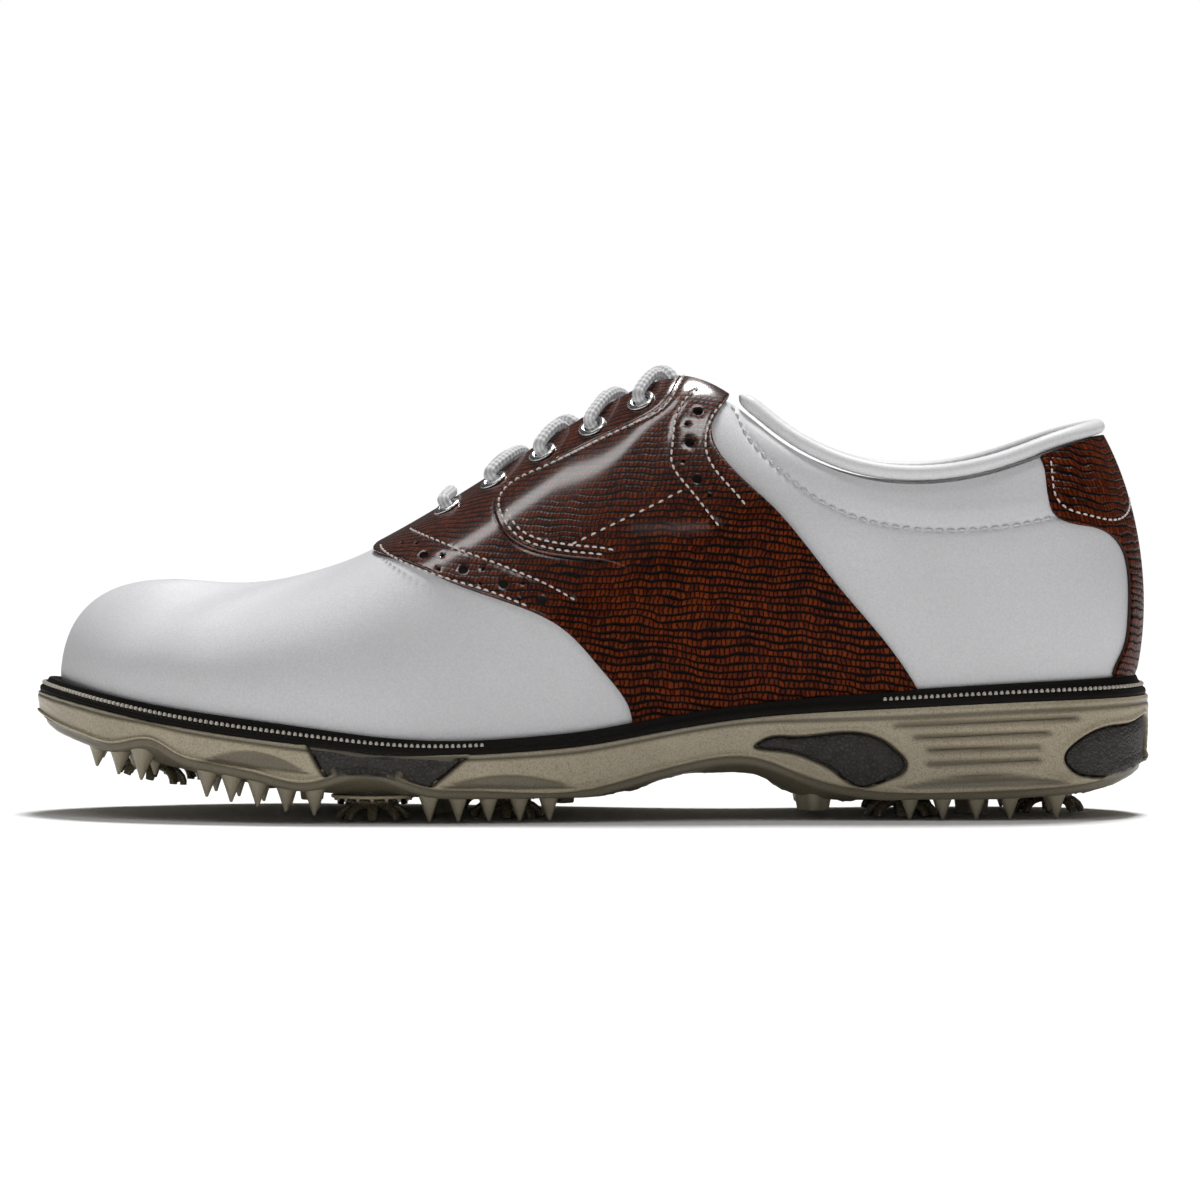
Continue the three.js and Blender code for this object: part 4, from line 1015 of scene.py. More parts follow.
def build_quarter(name, side):
    low, high = sorted((on_side(0.0, side), on_side(7.2, side)))
    panel = Panel(upper, (low, high), 170, 62)
    back = beyond(lines[side]["back"], 1, 0.5, side)
    collar = beyond(lines[side]["collar"], 2, 0.98, side)
    panel.cut(less(back, -LAP)).keep(less(back, -LAP))
    cut_beside(panel, collar, (-1.3, -0.5, 0.5, 1.3))

    def outer(u, t):
        d = collar(u, t)
        puff = 0.9 * smoothstep(0.2, 6, d) * smoothstep(1.02, 0.93, t)
        groove = 0.55 * bell(d, 0.95) * smoothstep(-3, 0.5, back(u, t))
        slack = 0.18 * bell(d + 5, 4)
        return puff - groove + slack - foot_tuck(t, 0.25, 0.06)

    ob = shell(panel, f"quarter_leather_{name}", outer, -WHITE_DEPTH, (WHITE, WHITE_EDGE))
    piece(ob, "shoe", "white_leather", f"quarter_{name}")


# ------------------------------------------------------------------ brown leather
def side_points(points, side):
    u, t = upper.from_side(points, side)
    return upper.point(u, t)


def hole_fields(holes, margin=0.0):
    """Signed distance from the nearest of some (centre, radius) holes, each widened by a margin."""
    fields = [hole_field(centre, radius + margin) for centre, radius in holes]
    return lambda u, t: np.min([field(u, t) for field in fields], axis=0)


def saddle_panel(side, sign):
    """The brown panel of one side, cut ready for its front piece (sign -1) or back piece (sign 1)."""
    low, high = sorted((on_side(2.9, side), on_side(10.1, side)))
    panel = Panel(upper, (low, high), 176, 72)
    front = beyond(lines[side]["front"], 5, 0.5, side)
    back = beyond(lines[side]["back"], 6, 0.5, side)
    edge = beyond(lines[side]["panel"], 5, 0.6, side)
    panel.keep(less(front, -6), less(back, -6))
    seams = [lines[side][k] for k in ("strap_top", "strap_low", "band_front", "band_back", "diagonal")]
    lobe = lines[side]["panel"]

    def near_seams(u, t):
        close = np.full(len(u), 9.0)
        for seam in seams:
            close = np.minimum(close, np.abs(seam.distance(u, t)))
        return 0.9 - np.minimum(close, np.abs(np.abs(lobe.distance(u, t)) - 1.6))

    big = [(c, BIG_HOLE) for c in side_points(BIG_HOLES, side)]
    small = [(c, SMALL_HOLE) for c in side_points(SMALL_HOLES, side)]
    eyelets = [(p, EYELET_HOLE) for p, _ in EYELETS[side]]
    panel.refine(near_seams)
    for holes, margin in ((big + small, 0.5), (small, 0.2), (eyelets, 0.5)):
        away = hole_fields(holes, margin)
        panel.refine(lambda u, t: -away(u, t))
    open_field = hole_fields(big + small + eyelets)
    panel.cut(open_field, snap=0.02).keep(open_field)
    cut_beside(panel, front, EDGE_STEPS)
    cut_beside(panel, back, EDGE_STEPS)
    panel.keep(front, back)
    cut_beside(panel, edge, (0, 0.25, 0.6, -0.5, -1.2))
    panel.keep(lambda u, t: sign * edge(u, t))
    return panel, front, back, edge, seams, open_field


def build_saddle(name, side):
    def raised(u, t):
        p = upper.point(u, t)
        fading = smoothstep(1, 11, p[:, 0]) * smoothstep(82, 76, p[:, 2])
        return smoothstep(62, 68.5, p[:, 2]) * (1 - fading)

    for kind, sign in (("eyestay", -1), ("saddle", 1)):
        panel, front, back, edge, seams, holes = saddle_panel(side, sign)

        def outer(u, t):
            w = raised(u, t)
            d = edge(u, t)
            top = 1.45 - 0.2 * w
            if sign > 0:
                top = top + w * (0.75 - edge_drop(0.5, d) - 0.2 * bell(d - 1.6, 0.5))
            else:
                top = top - 0.22 * w * bell(d, 0.7)
            top = top - edge_drop(0.45, np.minimum(front(u, t), back(u, t)))
            top = top - 0.16 * bell(np.clip(holes(u, t), 0, None), 0.3)
            pulled = np.max([relief(seam.distance(u, t)) for seam in seams], axis=0)
            return top - pulled - foot_tuck(t, 0.3, 0.04)

        ob = shell(panel, f"{kind}_leather_{name}", outer, BROWN_BASE, (BROWN, BROWN_EDGE))
        piece(ob, "shoe", "brown_leather", f"{kind}_{name}")
    paint_hole_shade(name, side)


def paint_hole_shade(name, side):
    """Painted shade: near-black discs at the bottom of the perforations."""
    points, faces = [], []
    count = 20
    angles = np.arange(count) * 2 * math.pi / count
    disc = ring_faces(3, count)
    for i in range(count):
        j = (i + 1) % count
        disc += [[2 * count + i, 2 * count + j, 3 * count], [j, i, 3 * count + 1]]
    for centres, radius in ((BIG_HOLES, BIG_HOLE), (SMALL_HOLES, SMALL_HOLE)):
        u, t = upper.from_side(centres, side)
        p, n = upper.point(u, t), upper.normal(u, t)
        for c, normal in zip(p, n):
            a = unit(np.cross(normal, (0, 1, 0.3)))
            b = np.cross(normal, a)
            faces += [[i + len(points) for i in f] for f in disc]
            for r, height in ((radius + 0.3, 0.1), (radius + 0.3, 0.3), (radius * 0.7, 0.22)):
                points += [c + normal * height + (a * math.cos(w) + b * math.sin(w)) * r for w in angles]
            points += [c + normal * 0.14, c + normal * 0.1]
    ob = mesh_object(f"perforation_painted_shade_{name}", points, faces, (HOLE_SHADE,))
    piece(finish_mesh(ob), "shoe", "brown_leather")


def build_backstay():
    reach = 2.35
    panel = Panel(upper, (-reach, reach), 128, 72)
    sides = {side: beyond(lines[side]["backstay"], 0.02, 0.5, side) for _, side in SIDES}
    seams = {side: lines[side]["backstay_seam"] for _, side in SIDES}

    def either(fields, u, t):
        lateral = u >= 0
        out = np.zeros(len(u))
        if lateral.any():
            out[lateral] = fields[LATERAL](u[lateral], t[lateral])
        if (~lateral).any():
            out[~lateral] = fields[MEDIAL](u[~lateral] + STATIONS, t[~lateral])
        return out

    edge = lambda u, t: either(sides, u, t)
    seam = lambda u, t: either({s: line.distance for s, line in seams.items()}, u, t)
    panel.keep(less(edge, -4))
    panel.refine(lambda u, t: 0.9 - np.abs(seam(u, t)))
    cut_beside(panel, edge, EDGE_STEPS)
    panel.keep(edge)

    def outer(u, t):
        return 1.4 - edge_drop(0.45, edge(u, t)) - relief(seam(u, t)) - foot_tuck(t, 0.3, 0.04)

    ob = shell(panel, "backstay_leather", outer, BROWN_BASE, (BROWN, BROWN_EDGE))
    piece(ob, "shoe", "brown_leather", "backstay")


# ------------------------------------------------------------------ stitches
def capsule_rows(name, rows, material, body, slot, length=1.9, radius=0.3):
    """Rows of stitches. Each row is (points, normals): a stitch lies at each point, along the row."""
    ring, around = 5, 6
    stitch = ring_faces(ring, around)
    stitch += [list(reversed(range(around))), list(range((ring - 1) * around, ring * around))]
    points, faces = [], []
    for centres, normals in rows:
        for c, n, tangent in zip(centres, normals, unit(np.gradient(centres, axis=0))):
            b = np.cross(n, tangent)
            faces += [[i + len(points) for i in f] for f in stitch]
            for k in range(ring):
                s = k / (ring - 1) * 2 - 1
                r = radius * (0.45 + 0.55 * math.sqrt(max(1 - s**4, 0)))
                rise = 0.13 - 0.34 * s**4
                for j in range(around):
                    w = 2 * math.pi * j / around
                    offset = b * math.cos(w) * r * 1.15 + n * (math.sin(w) * r + rise)
                    points.append(c + tangent * s * length / 2 + offset)
    piece(finish_mesh(mesh_object(name, points, faces, (material,))), body, slot)


def spaced(line, pitch, height, start=0.0, end=None, skip=None):
    """Centres and normals of stitches along a surface line, at a height(u, t) over the face."""
    s = run_lengths(line.p)
    end = s[-1] if end is None else end
    at = np.arange(start + pitch / 2, end, pitch)
    u, t = np.interp(at, s, line.u), np.interp(at, s, line.t)
    inside = (t < 1.0) & (t > 0.0)
    if skip is not None:
        inside &= ~skip(u, t)
    u, t = u[inside], t[inside]
    p, n = upper.point(u, t), upper.normal(u, t)
    return p + n * value_at(height, u, t)[:, None], n


def build_stitches():
    lobe_rise = lambda u, t: smoothstep(57, 68, upper.point(u, t)[:, 2])
    panel_top = lambda u, t: 1.52 + 0.55 * lobe_rise(u, t)
    strap_top = lambda u, t: 1.36 + 0.15 * (1 - lobe_rise(u, t))
    for name, side in SIDES:
        mine = lines[side]
        lobe, second_row = (mine["panel"].shifted(by * lobe_sign(side)) for by in (1.6, 3.4))
        start, end = lobe_start(lobe), lobe.length - 1.0
        rows = [spaced(mine[seam], STITCH_PITCH, strap_top) for seam in ("strap_top", "strap_low")]
        rows += [spaced(mine[seam], STITCH_PITCH, panel_top) for seam in ("band_front", "band_back")]
        rows += [
            spaced(mine["diagonal"], 2.9, panel_top),
            spaced(lobe, STITCH_PITCH, panel_top, start, end),
            spaced(second_row, STITCH_PITCH, panel_top, start, start + 34),
        ]
        rows = [row for row in rows if len(row[0]) > 2]
        capsule_rows(f"stitches_saddle_{name}", rows, THREAD, "shoe", "brown_leather", 1.45, 0.25)
        under = [beyond(mine["back"], 1, 0.5, side), beyond(mine["backstay"], 3, 0.5, side)]
        hidden = lambda u, t: (under[0](u, t) < 1.0) | (under[1](u, t) < 1.0)
        capsule_rows(f"stitches_collar_{name}", [spaced(mine["collar"], 3.0, -0.25, skip=hidden)],
                     WHITE_THREAD, "shoe", "white_leather", 2.1, 0.36)
    rows = [spaced(lines[side]["backstay_seam"], STITCH_PITCH, 1.3) for _, side in SIDES]
    capsule_rows("stitches_backstay", rows, THREAD, "shoe", "brown_leather", 1.5, 0.24)


def lobe_sign(side):
    """Which way the saddle's back piece lies from its front edge, for Line.shifted."""
    line = lines[side]["panel"]
    at = line.distance(np.array([on_side(5.0, side)]), np.array([0.6]))[0]
    return 1 if at > 0 else -1


def lobe_start(line):
    """Length along the panel's edge at which its raised lobe starts."""
    return float(run_lengths(line.p)[np.argmax(line.p[:, 0] < 3)])


# ------------------------------------------------------------------ swept and turned shapes
def smooth_path(points, step):
    """Centripetal Catmull-Rom spline through points, resampled evenly."""
    p = np.asarray(points, float)
    p = np.concatenate([[2 * p[0] - p[1]], p, [2 * p[-1] - p[-2]]])
    knots = np.append(0, np.cumsum(np.maximum(np.linalg.norm(np.diff(p, axis=0), axis=1), 1e-6) ** 0.5))
    out = []
    for i in range(1, len(p) - 2):
        t0, t1, t2, t3 = knots[i - 1:i + 3]
        for t in np.linspace(t1, t2, 24, endpoint=False):
            a1 = ((t1 - t) * p[i - 1] + (t - t0) * p[i]) / (t1 - t0)
            a2 = ((t2 - t) * p[i] + (t - t1) * p[i + 1]) / (t2 - t1)
            a3 = ((t3 - t) * p[i + 1] + (t - t2) * p[i + 2]) / (t3 - t2)
            b1 = ((t2 - t) * a1 + (t - t0) * a2) / (t2 - t0)
            b2 = ((t3 - t) * a2 + (t - t1) * a3) / (t3 - t1)
            out.append(((t2 - t) * b1 + (t - t1) * b2) / (t2 - t1))
    out.append(p[-2])
    out = np.array(out)
    s = run_lengths(out)
    at = np.linspace(0, s[-1], max(int(s[-1] / step), 4) + 1)
    return np.stack([np.interp(at, s, out[:, k]) for k in range(3)], -1)


def frames_along(path):
    """Two directions square to a path at each of its points, with no twist along it."""
    tangents = unit(np.gradient(path, axis=0))
    side = unit(np.cross(tangents[0], (0, 0, 1)))
    sides = []
    for tangent in tangents:
        side = unit(side - tangent * side.dot(tangent))
        sides.append(side)
    sides = np.array(sides)
    return sides, np.cross(sides, tangents)


def sweep(name, path, radius, around, materials, lengthwise, turns):
    """A tube along a path. radius(s, angle) gives mm, with s the length so far and angles as arrays."""
    side, rise = frames_along(path)
    s = run_lengths(path)
    angles = np.arange(around + 1) * 2 * math.pi / around
    r = radius(s[:, None], angles[None])
    points = path[:, None] + side[:, None] * (np.cos(angles)[None] * r)[..., None]
    points = points + rise[:, None] * (np.sin(angles)[None] * r)[..., None]
    uv = np.stack(np.broadcast_arrays(angles[None] / (2 * math.pi) * turns, s[:, None] * lengthwise), -1)
    n, m = len(path), around + 1
    starts = [i * m + j for i in range(n - 1) for j in range(around)]
    faces = [[a, a + 1, a + m + 1, a + m] for a in starts]
    flat = points.reshape(-1, 3)
    middle = len(flat)
    flat = np.concatenate([flat, path[:1], path[-1:]])
    faces += [[j + 1, j, middle] for j in range(around)]
    faces += [[(n - 1) * m + j, (n - 1) * m + j + 1, middle + 1] for j in range(around)]
    uv = np.concatenate([uv.reshape(-1, 2), uv.reshape(-1, 2)[:1], uv.reshape(-1, 2)[-1:]])
    ob = mesh_object(name, flat, faces, materials, uv=uv)
    return finish_mesh(ob, weld=0.002, crease=60)


def axes_of(axis):
    """Two directions square to an axis, and the axis."""
    axis = unit(np.asarray(axis, float))
    a = unit(np.cross((0, 1, 0), axis))
    return a, np.cross(axis, a), axis


def lathe_points(profile, around, centre, axis, wave=None):
    """Rings of a turned shape. profile is (radius, height) pairs along the axis."""
    a, b, c = axes_of(axis)
    angles = np.arange(around) * 2 * math.pi / around
    rings = []
    for r, h in profile:
        radius = r * (1 + (wave(angles, h) if wave else 0))
        ring = centre + c * h + np.outer(np.cos(angles) * radius, a) + np.outer(np.sin(angles) * radius, b)
        rings.append(ring)
    return np.array(rings)


def ring_faces(count, around, closed_profile=False):
    faces = []
    for k in range(count if closed_profile else count - 1):
        here, above = k * around, (k + 1) % count * around
        for j in range(around):
            i = (j + 1) % around
            faces.append([here + j, here + i, above + i, above + j])
    return faces


def rounded_profile(points, radius=0.3, steps=3):
    """A closed (r, h) profile with its corners rounded."""
    p = [np.array(q, float) for q in points]
    out = []
    for i, here in enumerate(p):
        before, after = p[i - 1], p[(i + 1) % len(p)]
        a, b = before - here, after - here
        la, lb = np.linalg.norm(a), np.linalg.norm(b)
        r = min(radius, la * 0.45, lb * 0.45)
        a, b = here + a / la * r, here + b / lb * r
        for k in range(steps + 1):
            t = k / steps
            out.append((1 - t) ** 2 * a + 2 * t * (1 - t) * here + t * t * b)
    return out


class Parts:
    """Gathers closed shapes into one mesh."""

    def __init__(self):
        self.points, self.faces, self.kinds = [], [], []
        self.count = 0

    def add(self, points, faces, kind=0):
        points = np.asarray(points, float).reshape(-1, 3)
        self.points.append(points)
        self.faces += [[i + self.count for i in f] for f in faces]
        self.kinds += [kind] * len(faces)
        self.count += len(points)

    def cone(self, base, tip, base_radius, tip_radius, around, kind, hollow):
        """A tapered tooth with a rounded tip and slightly hollow flanks."""
        base, tip = np.asarray(base, float), np.asarray(tip, float)
        height = np.linalg.norm(tip - base)
        profile = [(0.001, 0)]
        for k in range(9):
            t = k / 8
            r = base_radius + (tip_radius - base_radius) * t
            profile.append((r - hollow * math.sin(math.pi * t), t * (height - tip_radius * 0.7)))
        for k in range(1, 4):
            w = k / 3 * math.pi / 2
            low = tip_radius * 0.7 * (1 - math.sin(w))
            profile.append((max(tip_radius * math.cos(w), 0.001), height - low))
        rings = lathe_points(profile, around, base, tip - base)
        self.add(rings, ring_faces(len(profile), around), kind)

    def ring(self, profile, centre, axis, around=48, kind=0, radius=0.3):
        profile = rounded_profile(profile, radius)
        rings = lathe_points(profile, around, np.asarray(centre, float), axis)
        self.add(rings, ring_faces(len(profile), around, closed_profile=True), kind)

    def object(self, name, materials, crease=50):
        ob = mesh_object(name, np.concatenate(self.points), self.faces, materials, self.kinds)
        return finish_mesh(ob, weld=0.002, crease=crease)


# ------------------------------------------------------------------ inside of the upper
def collar_foam(s, t):
    return (1 - smoothstep(4.2, 5.6, s)) * smoothstep(0.58, 0.78, t) * (1 - 0.75 * smoothstep(0.88, 1, t))


def lining_face(s, t):
    facing = smoothstep(5.6, 6.6, s) * (1 - smoothstep(9.4, 10, s)) * smoothstep(0.6, 0.8, t)
    return -3.0 + 1.1 * facing - 3.6 * collar_foam(s, t)


def build_linings():
    """One fabric from facing to facing round the heel, another round the toe."""
    thickness = 0.8
    outer = lambda u, t: lining_face(station_of(u), t)

    def inner(u, t):
        ripple = 0.12 * np.sin(upper.point(u, t)[:, 0] / 6) * bell(t - 0.7, 0.2)
        return outer(u, t) - thickness - ripple

    back = Panel(upper, (-9.98, 9.98), 200, 34)
    ob = shell(back, "quarter_lining_fabric", outer, inner, (LINING, LINING))
    piece(ob, "shoe", "lining_fabric", "quarter_lining")
    front = Panel(upper, (10.0, 16.0), 60, 26)
    ob = shell(front, "vamp_lining_fabric", outer, inner, (LINING, LINING), weld_at=at_throat)
    piece(ob, "shoe", "lining_fabric", "vamp_lining")


def across_sole(inset):
    """Points from the lateral (t=0) to the medial edge (t=1) of the sole at station u."""
    def at(u, t, height):
        a, b = edge_point(u, inset(u)), edge_point(STATIONS - u, inset(u))
        p = a + (b - a) * np.asarray(t)[..., None]
        return np.concatenate([p, height(p[..., 0], t)[..., None]], -1)
    return at


def slab(name, top, bottom, material):
    """A closed pad between two grids of points, each of shape (n, m, 3)."""
    n, m = top.shape[:2]
    faces = []
    for a in (i * m + j for i in range(n - 1) for j in range(m - 1)):
        quad = [a, a + m, a + m + 1, a + 1]
        faces += [quad, [k + n * m for k in reversed(quad)]]
    border = [i * m for i in range(n)] + [(n - 1) * m + j for j in range(1, m)]
    border += [i * m + m - 1 for i in range(n - 2, -1, -1)] + [j for j in range(m - 2, 0, -1)]
    for a, b in zip(border, border[1:] + border[:1]):
        faces.append([a, b, b + n * m, a + n * m])
    points = np.concatenate([top.reshape(-1, 3), bottom.reshape(-1, 3)])
    return mesh_object(name, points, faces, (material,))


def build_footbed():
    place = across_sole(lambda u: welt_inset(station_of(u)) + 5.2)
    us, ts = np.linspace(0.02, 12.98, 150), np.linspace(0, 1, 41)
    gu, gt = np.meshgrid(us, ts, indexing="ij")

    def top(x, t):
        rim = np.minimum(t, 1 - t) * 2
        cup = 0.9 * (1 - smoothstep(0, 0.35, rim))
        arch = 1.4 * bell(x - 25, 38) * smoothstep(0.5, 1.0, t)
        roll = 0.9 * smoothstep(0.06, 0.0, rim)
        quilt = 0.16 * np.sin(x / 3.2) * smoothstep(0.2, 0.4, rim) * smoothstep(60, 20, x)
        return feather(x) + 3.5 + cup * 0.6 + arch * 0.5 - roll + quilt

    high = place(gu, gt, top)
    low = place(gu, gt, lambda x, t: feather(x) + 0.4)
    ob = finish_mesh(slab("footbed_cushion", high, low, FOOTBED), weld=0.01, crease=70)
    piece(ob, "shoe", "lining_fabric", "footbed")


def build_binding():
    def rim(s):
        """The roll's middle, a little over and inside the top edge. s is negative on the medial side."""
        p = top_point(np.abs(s), np.where(s >= 0, LATERAL, MEDIAL))
        up = np.stack([-top_slope(p[:, 0]), np.zeros_like(s), np.ones_like(s)], -1)
        p += unit(up) * 3.0
        p[:, 1] *= 0.94
        return p

    path = smooth_path(rim(np.linspace(-5.92, 5.92, 45)), 1.1)
    total = run_lengths(path)[-1]
    thickness, taper, pucker_pitch, seam_angle = 2.22, 5, 3.1, 4.4

    def radius(s, angle):
        from_end = np.clip(taper - np.minimum(s, total - s), 0, taper) / taper
        ends = np.sqrt(np.clip(1 - from_end**2, 0.02, 1))
        seam = 0.16 * bell(np.mod(angle, 2 * math.pi) - seam_angle, 0.2)
        pucker = 0.045 * np.sin(s * 2 * math.pi / pucker_pitch) * np.sin(angle + 0.8)
        return (thickness + 0.1 * np.cos(2 * angle) - seam + pucker) * ends

    ob = sweep("collar_roll", path, radius, 20, (BINDING,), 1.0, 14.0)
    piece(ob, "shoe", "collar_leather", "collar_binding")


def find_on_top(x, y, rounds=30):
    """Lateral parameters of the upper's face at (x, -|y|), for arrays."""
    u, t = np.full(len(x), 8.0), np.full(len(x), 0.8)
    for _ in range(rounds):
        off = upper.point(u, t)[:, :2] - np.stack([x, -np.abs(y)], -1)
        du, dt = upper.derivatives(u, t)
        det = du[:, 0] * dt[:, 1] - dt[:, 0] * du[:, 1]
        det = np.where(np.abs(det) < 1e-6, 1e-6, det)
        u += np.clip(-(off[:, 0] * dt[:, 1] - dt[:, 0] * off[:, 1]) / det, -0.5, 0.5)
        t += np.clip(-(du[:, 0] * off[:, 1] - off[:, 0] * du[:, 1]) / det, -0.2, 0.2)
    return u, t


def under_throat(x, y, depth):
    x, y, depth = np.broadcast_arrays(*(np.atleast_1d(np.asarray(v, float)) for v in (x, y, depth)))
    stations = np.arange(4, 12, 0.05)
    nearest = stations[np.argmin(np.abs(top_x(stations)[None] - x[:, None]), 1)]
    reach = np.maximum(np.abs(y), np.maximum(top_gap(nearest), 3) + 0.5)
    u, t = find_on_top(x, reach)
    p = upper.point(u, t) - upper.normal(u, t) * depth[:, None]
    inner = np.abs(y) < reach
    share = np.abs(y) / reach
    p[:, 2] += np.where(inner, (1 - share * share) * 0.4, 0)
    p[:, 1] = np.where(inner, -np.abs(y), p[:, 1])
    p[:, 1] = np.where(y < 0, p[:, 1], -p[:, 1])
    return p


def build_tongue():
    front, length, depth, thickness = -58, 94, 7.2, 2.8
    ga, go = np.meshgrid(np.linspace(0, 1, 84), np.linspace(-1, 1, 40), indexing="ij")
    end = np.sqrt(np.clip(1 - (np.clip(ga - 0.93, 0, 1) / 0.07) ** 2 * 0.25, 0, 1))
    y = (15 + 4 * ga) * go * end
    rim = np.minimum(np.minimum(ga, 1 - ga) * length, (1 - np.abs(go)) * 17)
    puff = np.sqrt(np.clip(1 - (1 - np.clip(rim / 2.6, 0, 1)) ** 2, 0, 1))
    thinner = (1 - puff) * 1.15
    seam = 0.3 * bell(rim - 3.6, 0.6)
    top, low = (
        under_throat((front + length * ga).ravel(), y.ravel(), at.ravel()).reshape(*ga.shape, 3)
        for at in (depth + thinner + seam, depth + thickness - thinner)
    )
    ob = finish_mesh(slab("tongue_pad", top, low, TONGUE_LEATHER), crease=80)
    piece(ob, "tongue_flap", "tongue_leather", "tongue")


# ------------------------------------------------------------------ closure
def build_eyelets():
    profile = (
        (2.05, -3.1), (2.8, -3.1), (2.8, 1.2), (3.95, 1.25), (4.0, 1.6), (3.5, 2.05), (2.7, 2.0), (2.1, 1.5),
    )
    for name, side in SIDES:
        for i, (point, normal) in enumerate(EYELETS[side]):
            parts = Parts()
            parts.ring(profile, point, normal, 40, radius=0.22)
            ob = parts.object(f"eyelet_ring_{name}_{i + 1}", (EYELET_METAL,), crease=70)
            piece(ob, "shoe", "eyelet_metal", f"eyelet_{name}_{i + 1}")


def lace_path():
    over, under, cross = 3.5, 5.0, 1.8

    def at(x, y, height):
        return [np.array([x, y, float(top_line(x)) + height])]

    def below(x, y, depth):
        return [under_throat(x, y, depth)[0]]

    def through(i, side):
        point, normal = EYELETS[side][i]
        return [point + normal * h for h in (over, 2.2, -2.0, -under)]

    def half(first, part):
        x0, x1 = EYELET_X[:2]
        points = at(x0, first * 7, 3.4) + through(0, first) + below(x0 + 3.6, first * 6.5, under)
        points += at((x0 + x1) / 2, 0, cross * (part - 1) - 1.2) + below(x1 - 3.6, -first * 6.5, under)
        side = -first
        for i in range(1, len(EYELET_X)):
            x = EYELET_X[i]
            after = EYELET_X[i + 1] if i + 1 < len(EYELET_X) else x + 14
            points += through(i, side)[::-1] + at(x + 3.5, side * 7.4, over)
            points += at((x + after) / 2 + 0.6, 0, 0.4 + part * cross)
            points += below(after - 3.4, -side * 4.6, under - 0.2)
            points += below(after - 2, -side * 8.5, under + 0.2)
            side = -side
        return points

    return half(-1, -1)[::-1] + at(EYELET_X[0], 0, 3.8) + half(1, 1)


def build_lace():
    path = smooth_path(lace_path(), 0.42)
    strands, pitch, thickness, strand_rise = 8, 3.4, 1.62, 0.13

    def radius(s, angle):
        a = np.sin(angle * strands / 2 + s * 2 * math.pi / pitch)
        b = np.sin(angle * strands / 2 - s * 2 * math.pi / pitch)
        return thickness + strand_rise * a * b

    ob = sweep("shoe_lace", path, radius, 22, (LACE,), 1 / pitch, strands / 2)
    piece(ob, "shoe", "lace_cord", "lace")


# ------------------------------------------------------------------ bottom
INLAYS = {
  "fore": (
    (-76.2, 20.9), (-73.2, 15.0), (-71.6, 12.8), (-67.5, 13.4), (-63, 13.3), (-58, 13.1), (-52.8, 12.6),
    (-47.6, 11.2), (-43.2, 9.9), (-38.4, 13.6), (-33.4, 17.9), (-44, 18.1), (-55, 18.7), (-66, 19.7),
  ),
  "mid": (
    (44, 20.4), (47, 22.3), (53, 22.9), (63, 23.6), (72.6, 23.8), (78.4, 22), (83, 18.4), (85, 15.2),
    (84.2, 13.3), (79.4, 11), (73, 9), (69, 10.6), (64.2, 14.2), (59.4, 16.5), (52.4, 18.7),
  ),
  "heel": ((135, 11.6), (130, 13.4), (127.9, 16.6), (131.8, 21.6), (140, 25.2)),
}
HEEL_WRAP = ((0.95, 26.2), (0.42, 26.6), (0.42, 14.6), (0.95, 12.8))
HEEL_GROOVES = (
    (82.5, 25.9, 131, 27.8), (87.7, 22.7, 123.6, 23.8), (91.2, 19.2, 121, 20), (91.3, 15.4, 121, 16.5),
)
LENSES = ((81, 8.6, 132, 9.7, 3.9), (-41.7, 9.4, -4, 9.6, 3.9), (-106, 16.3, -76, 13.6, 4.9))
CLEATS = {
    "toe_lateral": (-119, -13), "toe_medial": (-116, 25), "ball_lateral": (-59, -36.5),
    "ball_medial": (-61, 34), "rear_lateral": (-23, -25), "rear_medial": (-29, 20),
    "heel_lateral": (84, -18.5), "heel_medial": (84, 17), "heel_back": (125, 0),
}
CLEAT_REACH = 5.9
RECESS = 11.4
RECESS_WALL = 8.7
EDGE_TEETH = (
    -140, -133, -126, -106.4, -99.4, -91.8, -83.6, -75.4, -43, -35, -26.5, -18, -10, 86, 95, 104.5, 114, 128,
)
LUGS = (
    (60, -23, 3.4, False), (60, 20, 3.4, False), (104, 0, 3.4, True), (-42, -2, 3.4, True),
    (-90, 4, 3, False), (-76, -20, 2.4, False), (-80, 28, 2.4, False), (-8, -4, 2.4, False),
)


def cleat_seat(x, y):
    high = float(tread(x)) > 10
    slope = float(tread(x + 0.5) - tread(x - 0.5)) if high else 0.0
    axis = np.array([-slope, 0, 1]) / math.hypot(slope, 1)
    return np.array([x, y, float(tread(x)) if high else CLEAT_REACH]), axis


SEATS = {name: cleat_seat(*at) for name, at in CLEATS.items()}


def sole_skin(u, k):
    """Outside of the outsole: k is -1 at the tread, 0 at the lip and 1 at the top edge."""
    u, k = np.broadcast_arrays(np.asarray(u, float), np.asarray(k, float))
    side_in = np.interp(k, (-1, -0.56, -0.5, -0.42, -0.06, 0, 0.04, 0.1, 0.16, 0.5, 0.9, 0.96, 1.0),
                        (12, 4.6, 3.4, 2.7, 1.6, 0.5, 0.35, 0.5, 0.8, 0.45, 0.1, 0.25, 0.9))
    x = edge_point(u, side_in)[..., 0]
    low, rim, edge, top = tread(x), np.maximum(tread(x), lip(x) - 2.6), lip(x), sole_top(x)
    z = np.where(k < -0.5, low + (rim - low) * (k + 1) * 2, rim + (edge - rim) * (k + 0.5) * 2)
    z = np.where(k > 0, edge + (top - edge) * k, z)
    return np.concatenate([edge_point(u, side_in), z[..., None]], -1)


skin = Surface(sole_skin)


def segment_distance(x, z, x0, z0, x1, z1):
    dx, dz = x1 - x0, z1 - z0
    k = np.clip(((x - x0) * dx + (z - z0) * dz) / (dx * dx + dz * dz), 0, 1)
    return np.hypot(x - x0 - k * dx, z - z0 - k * dz)


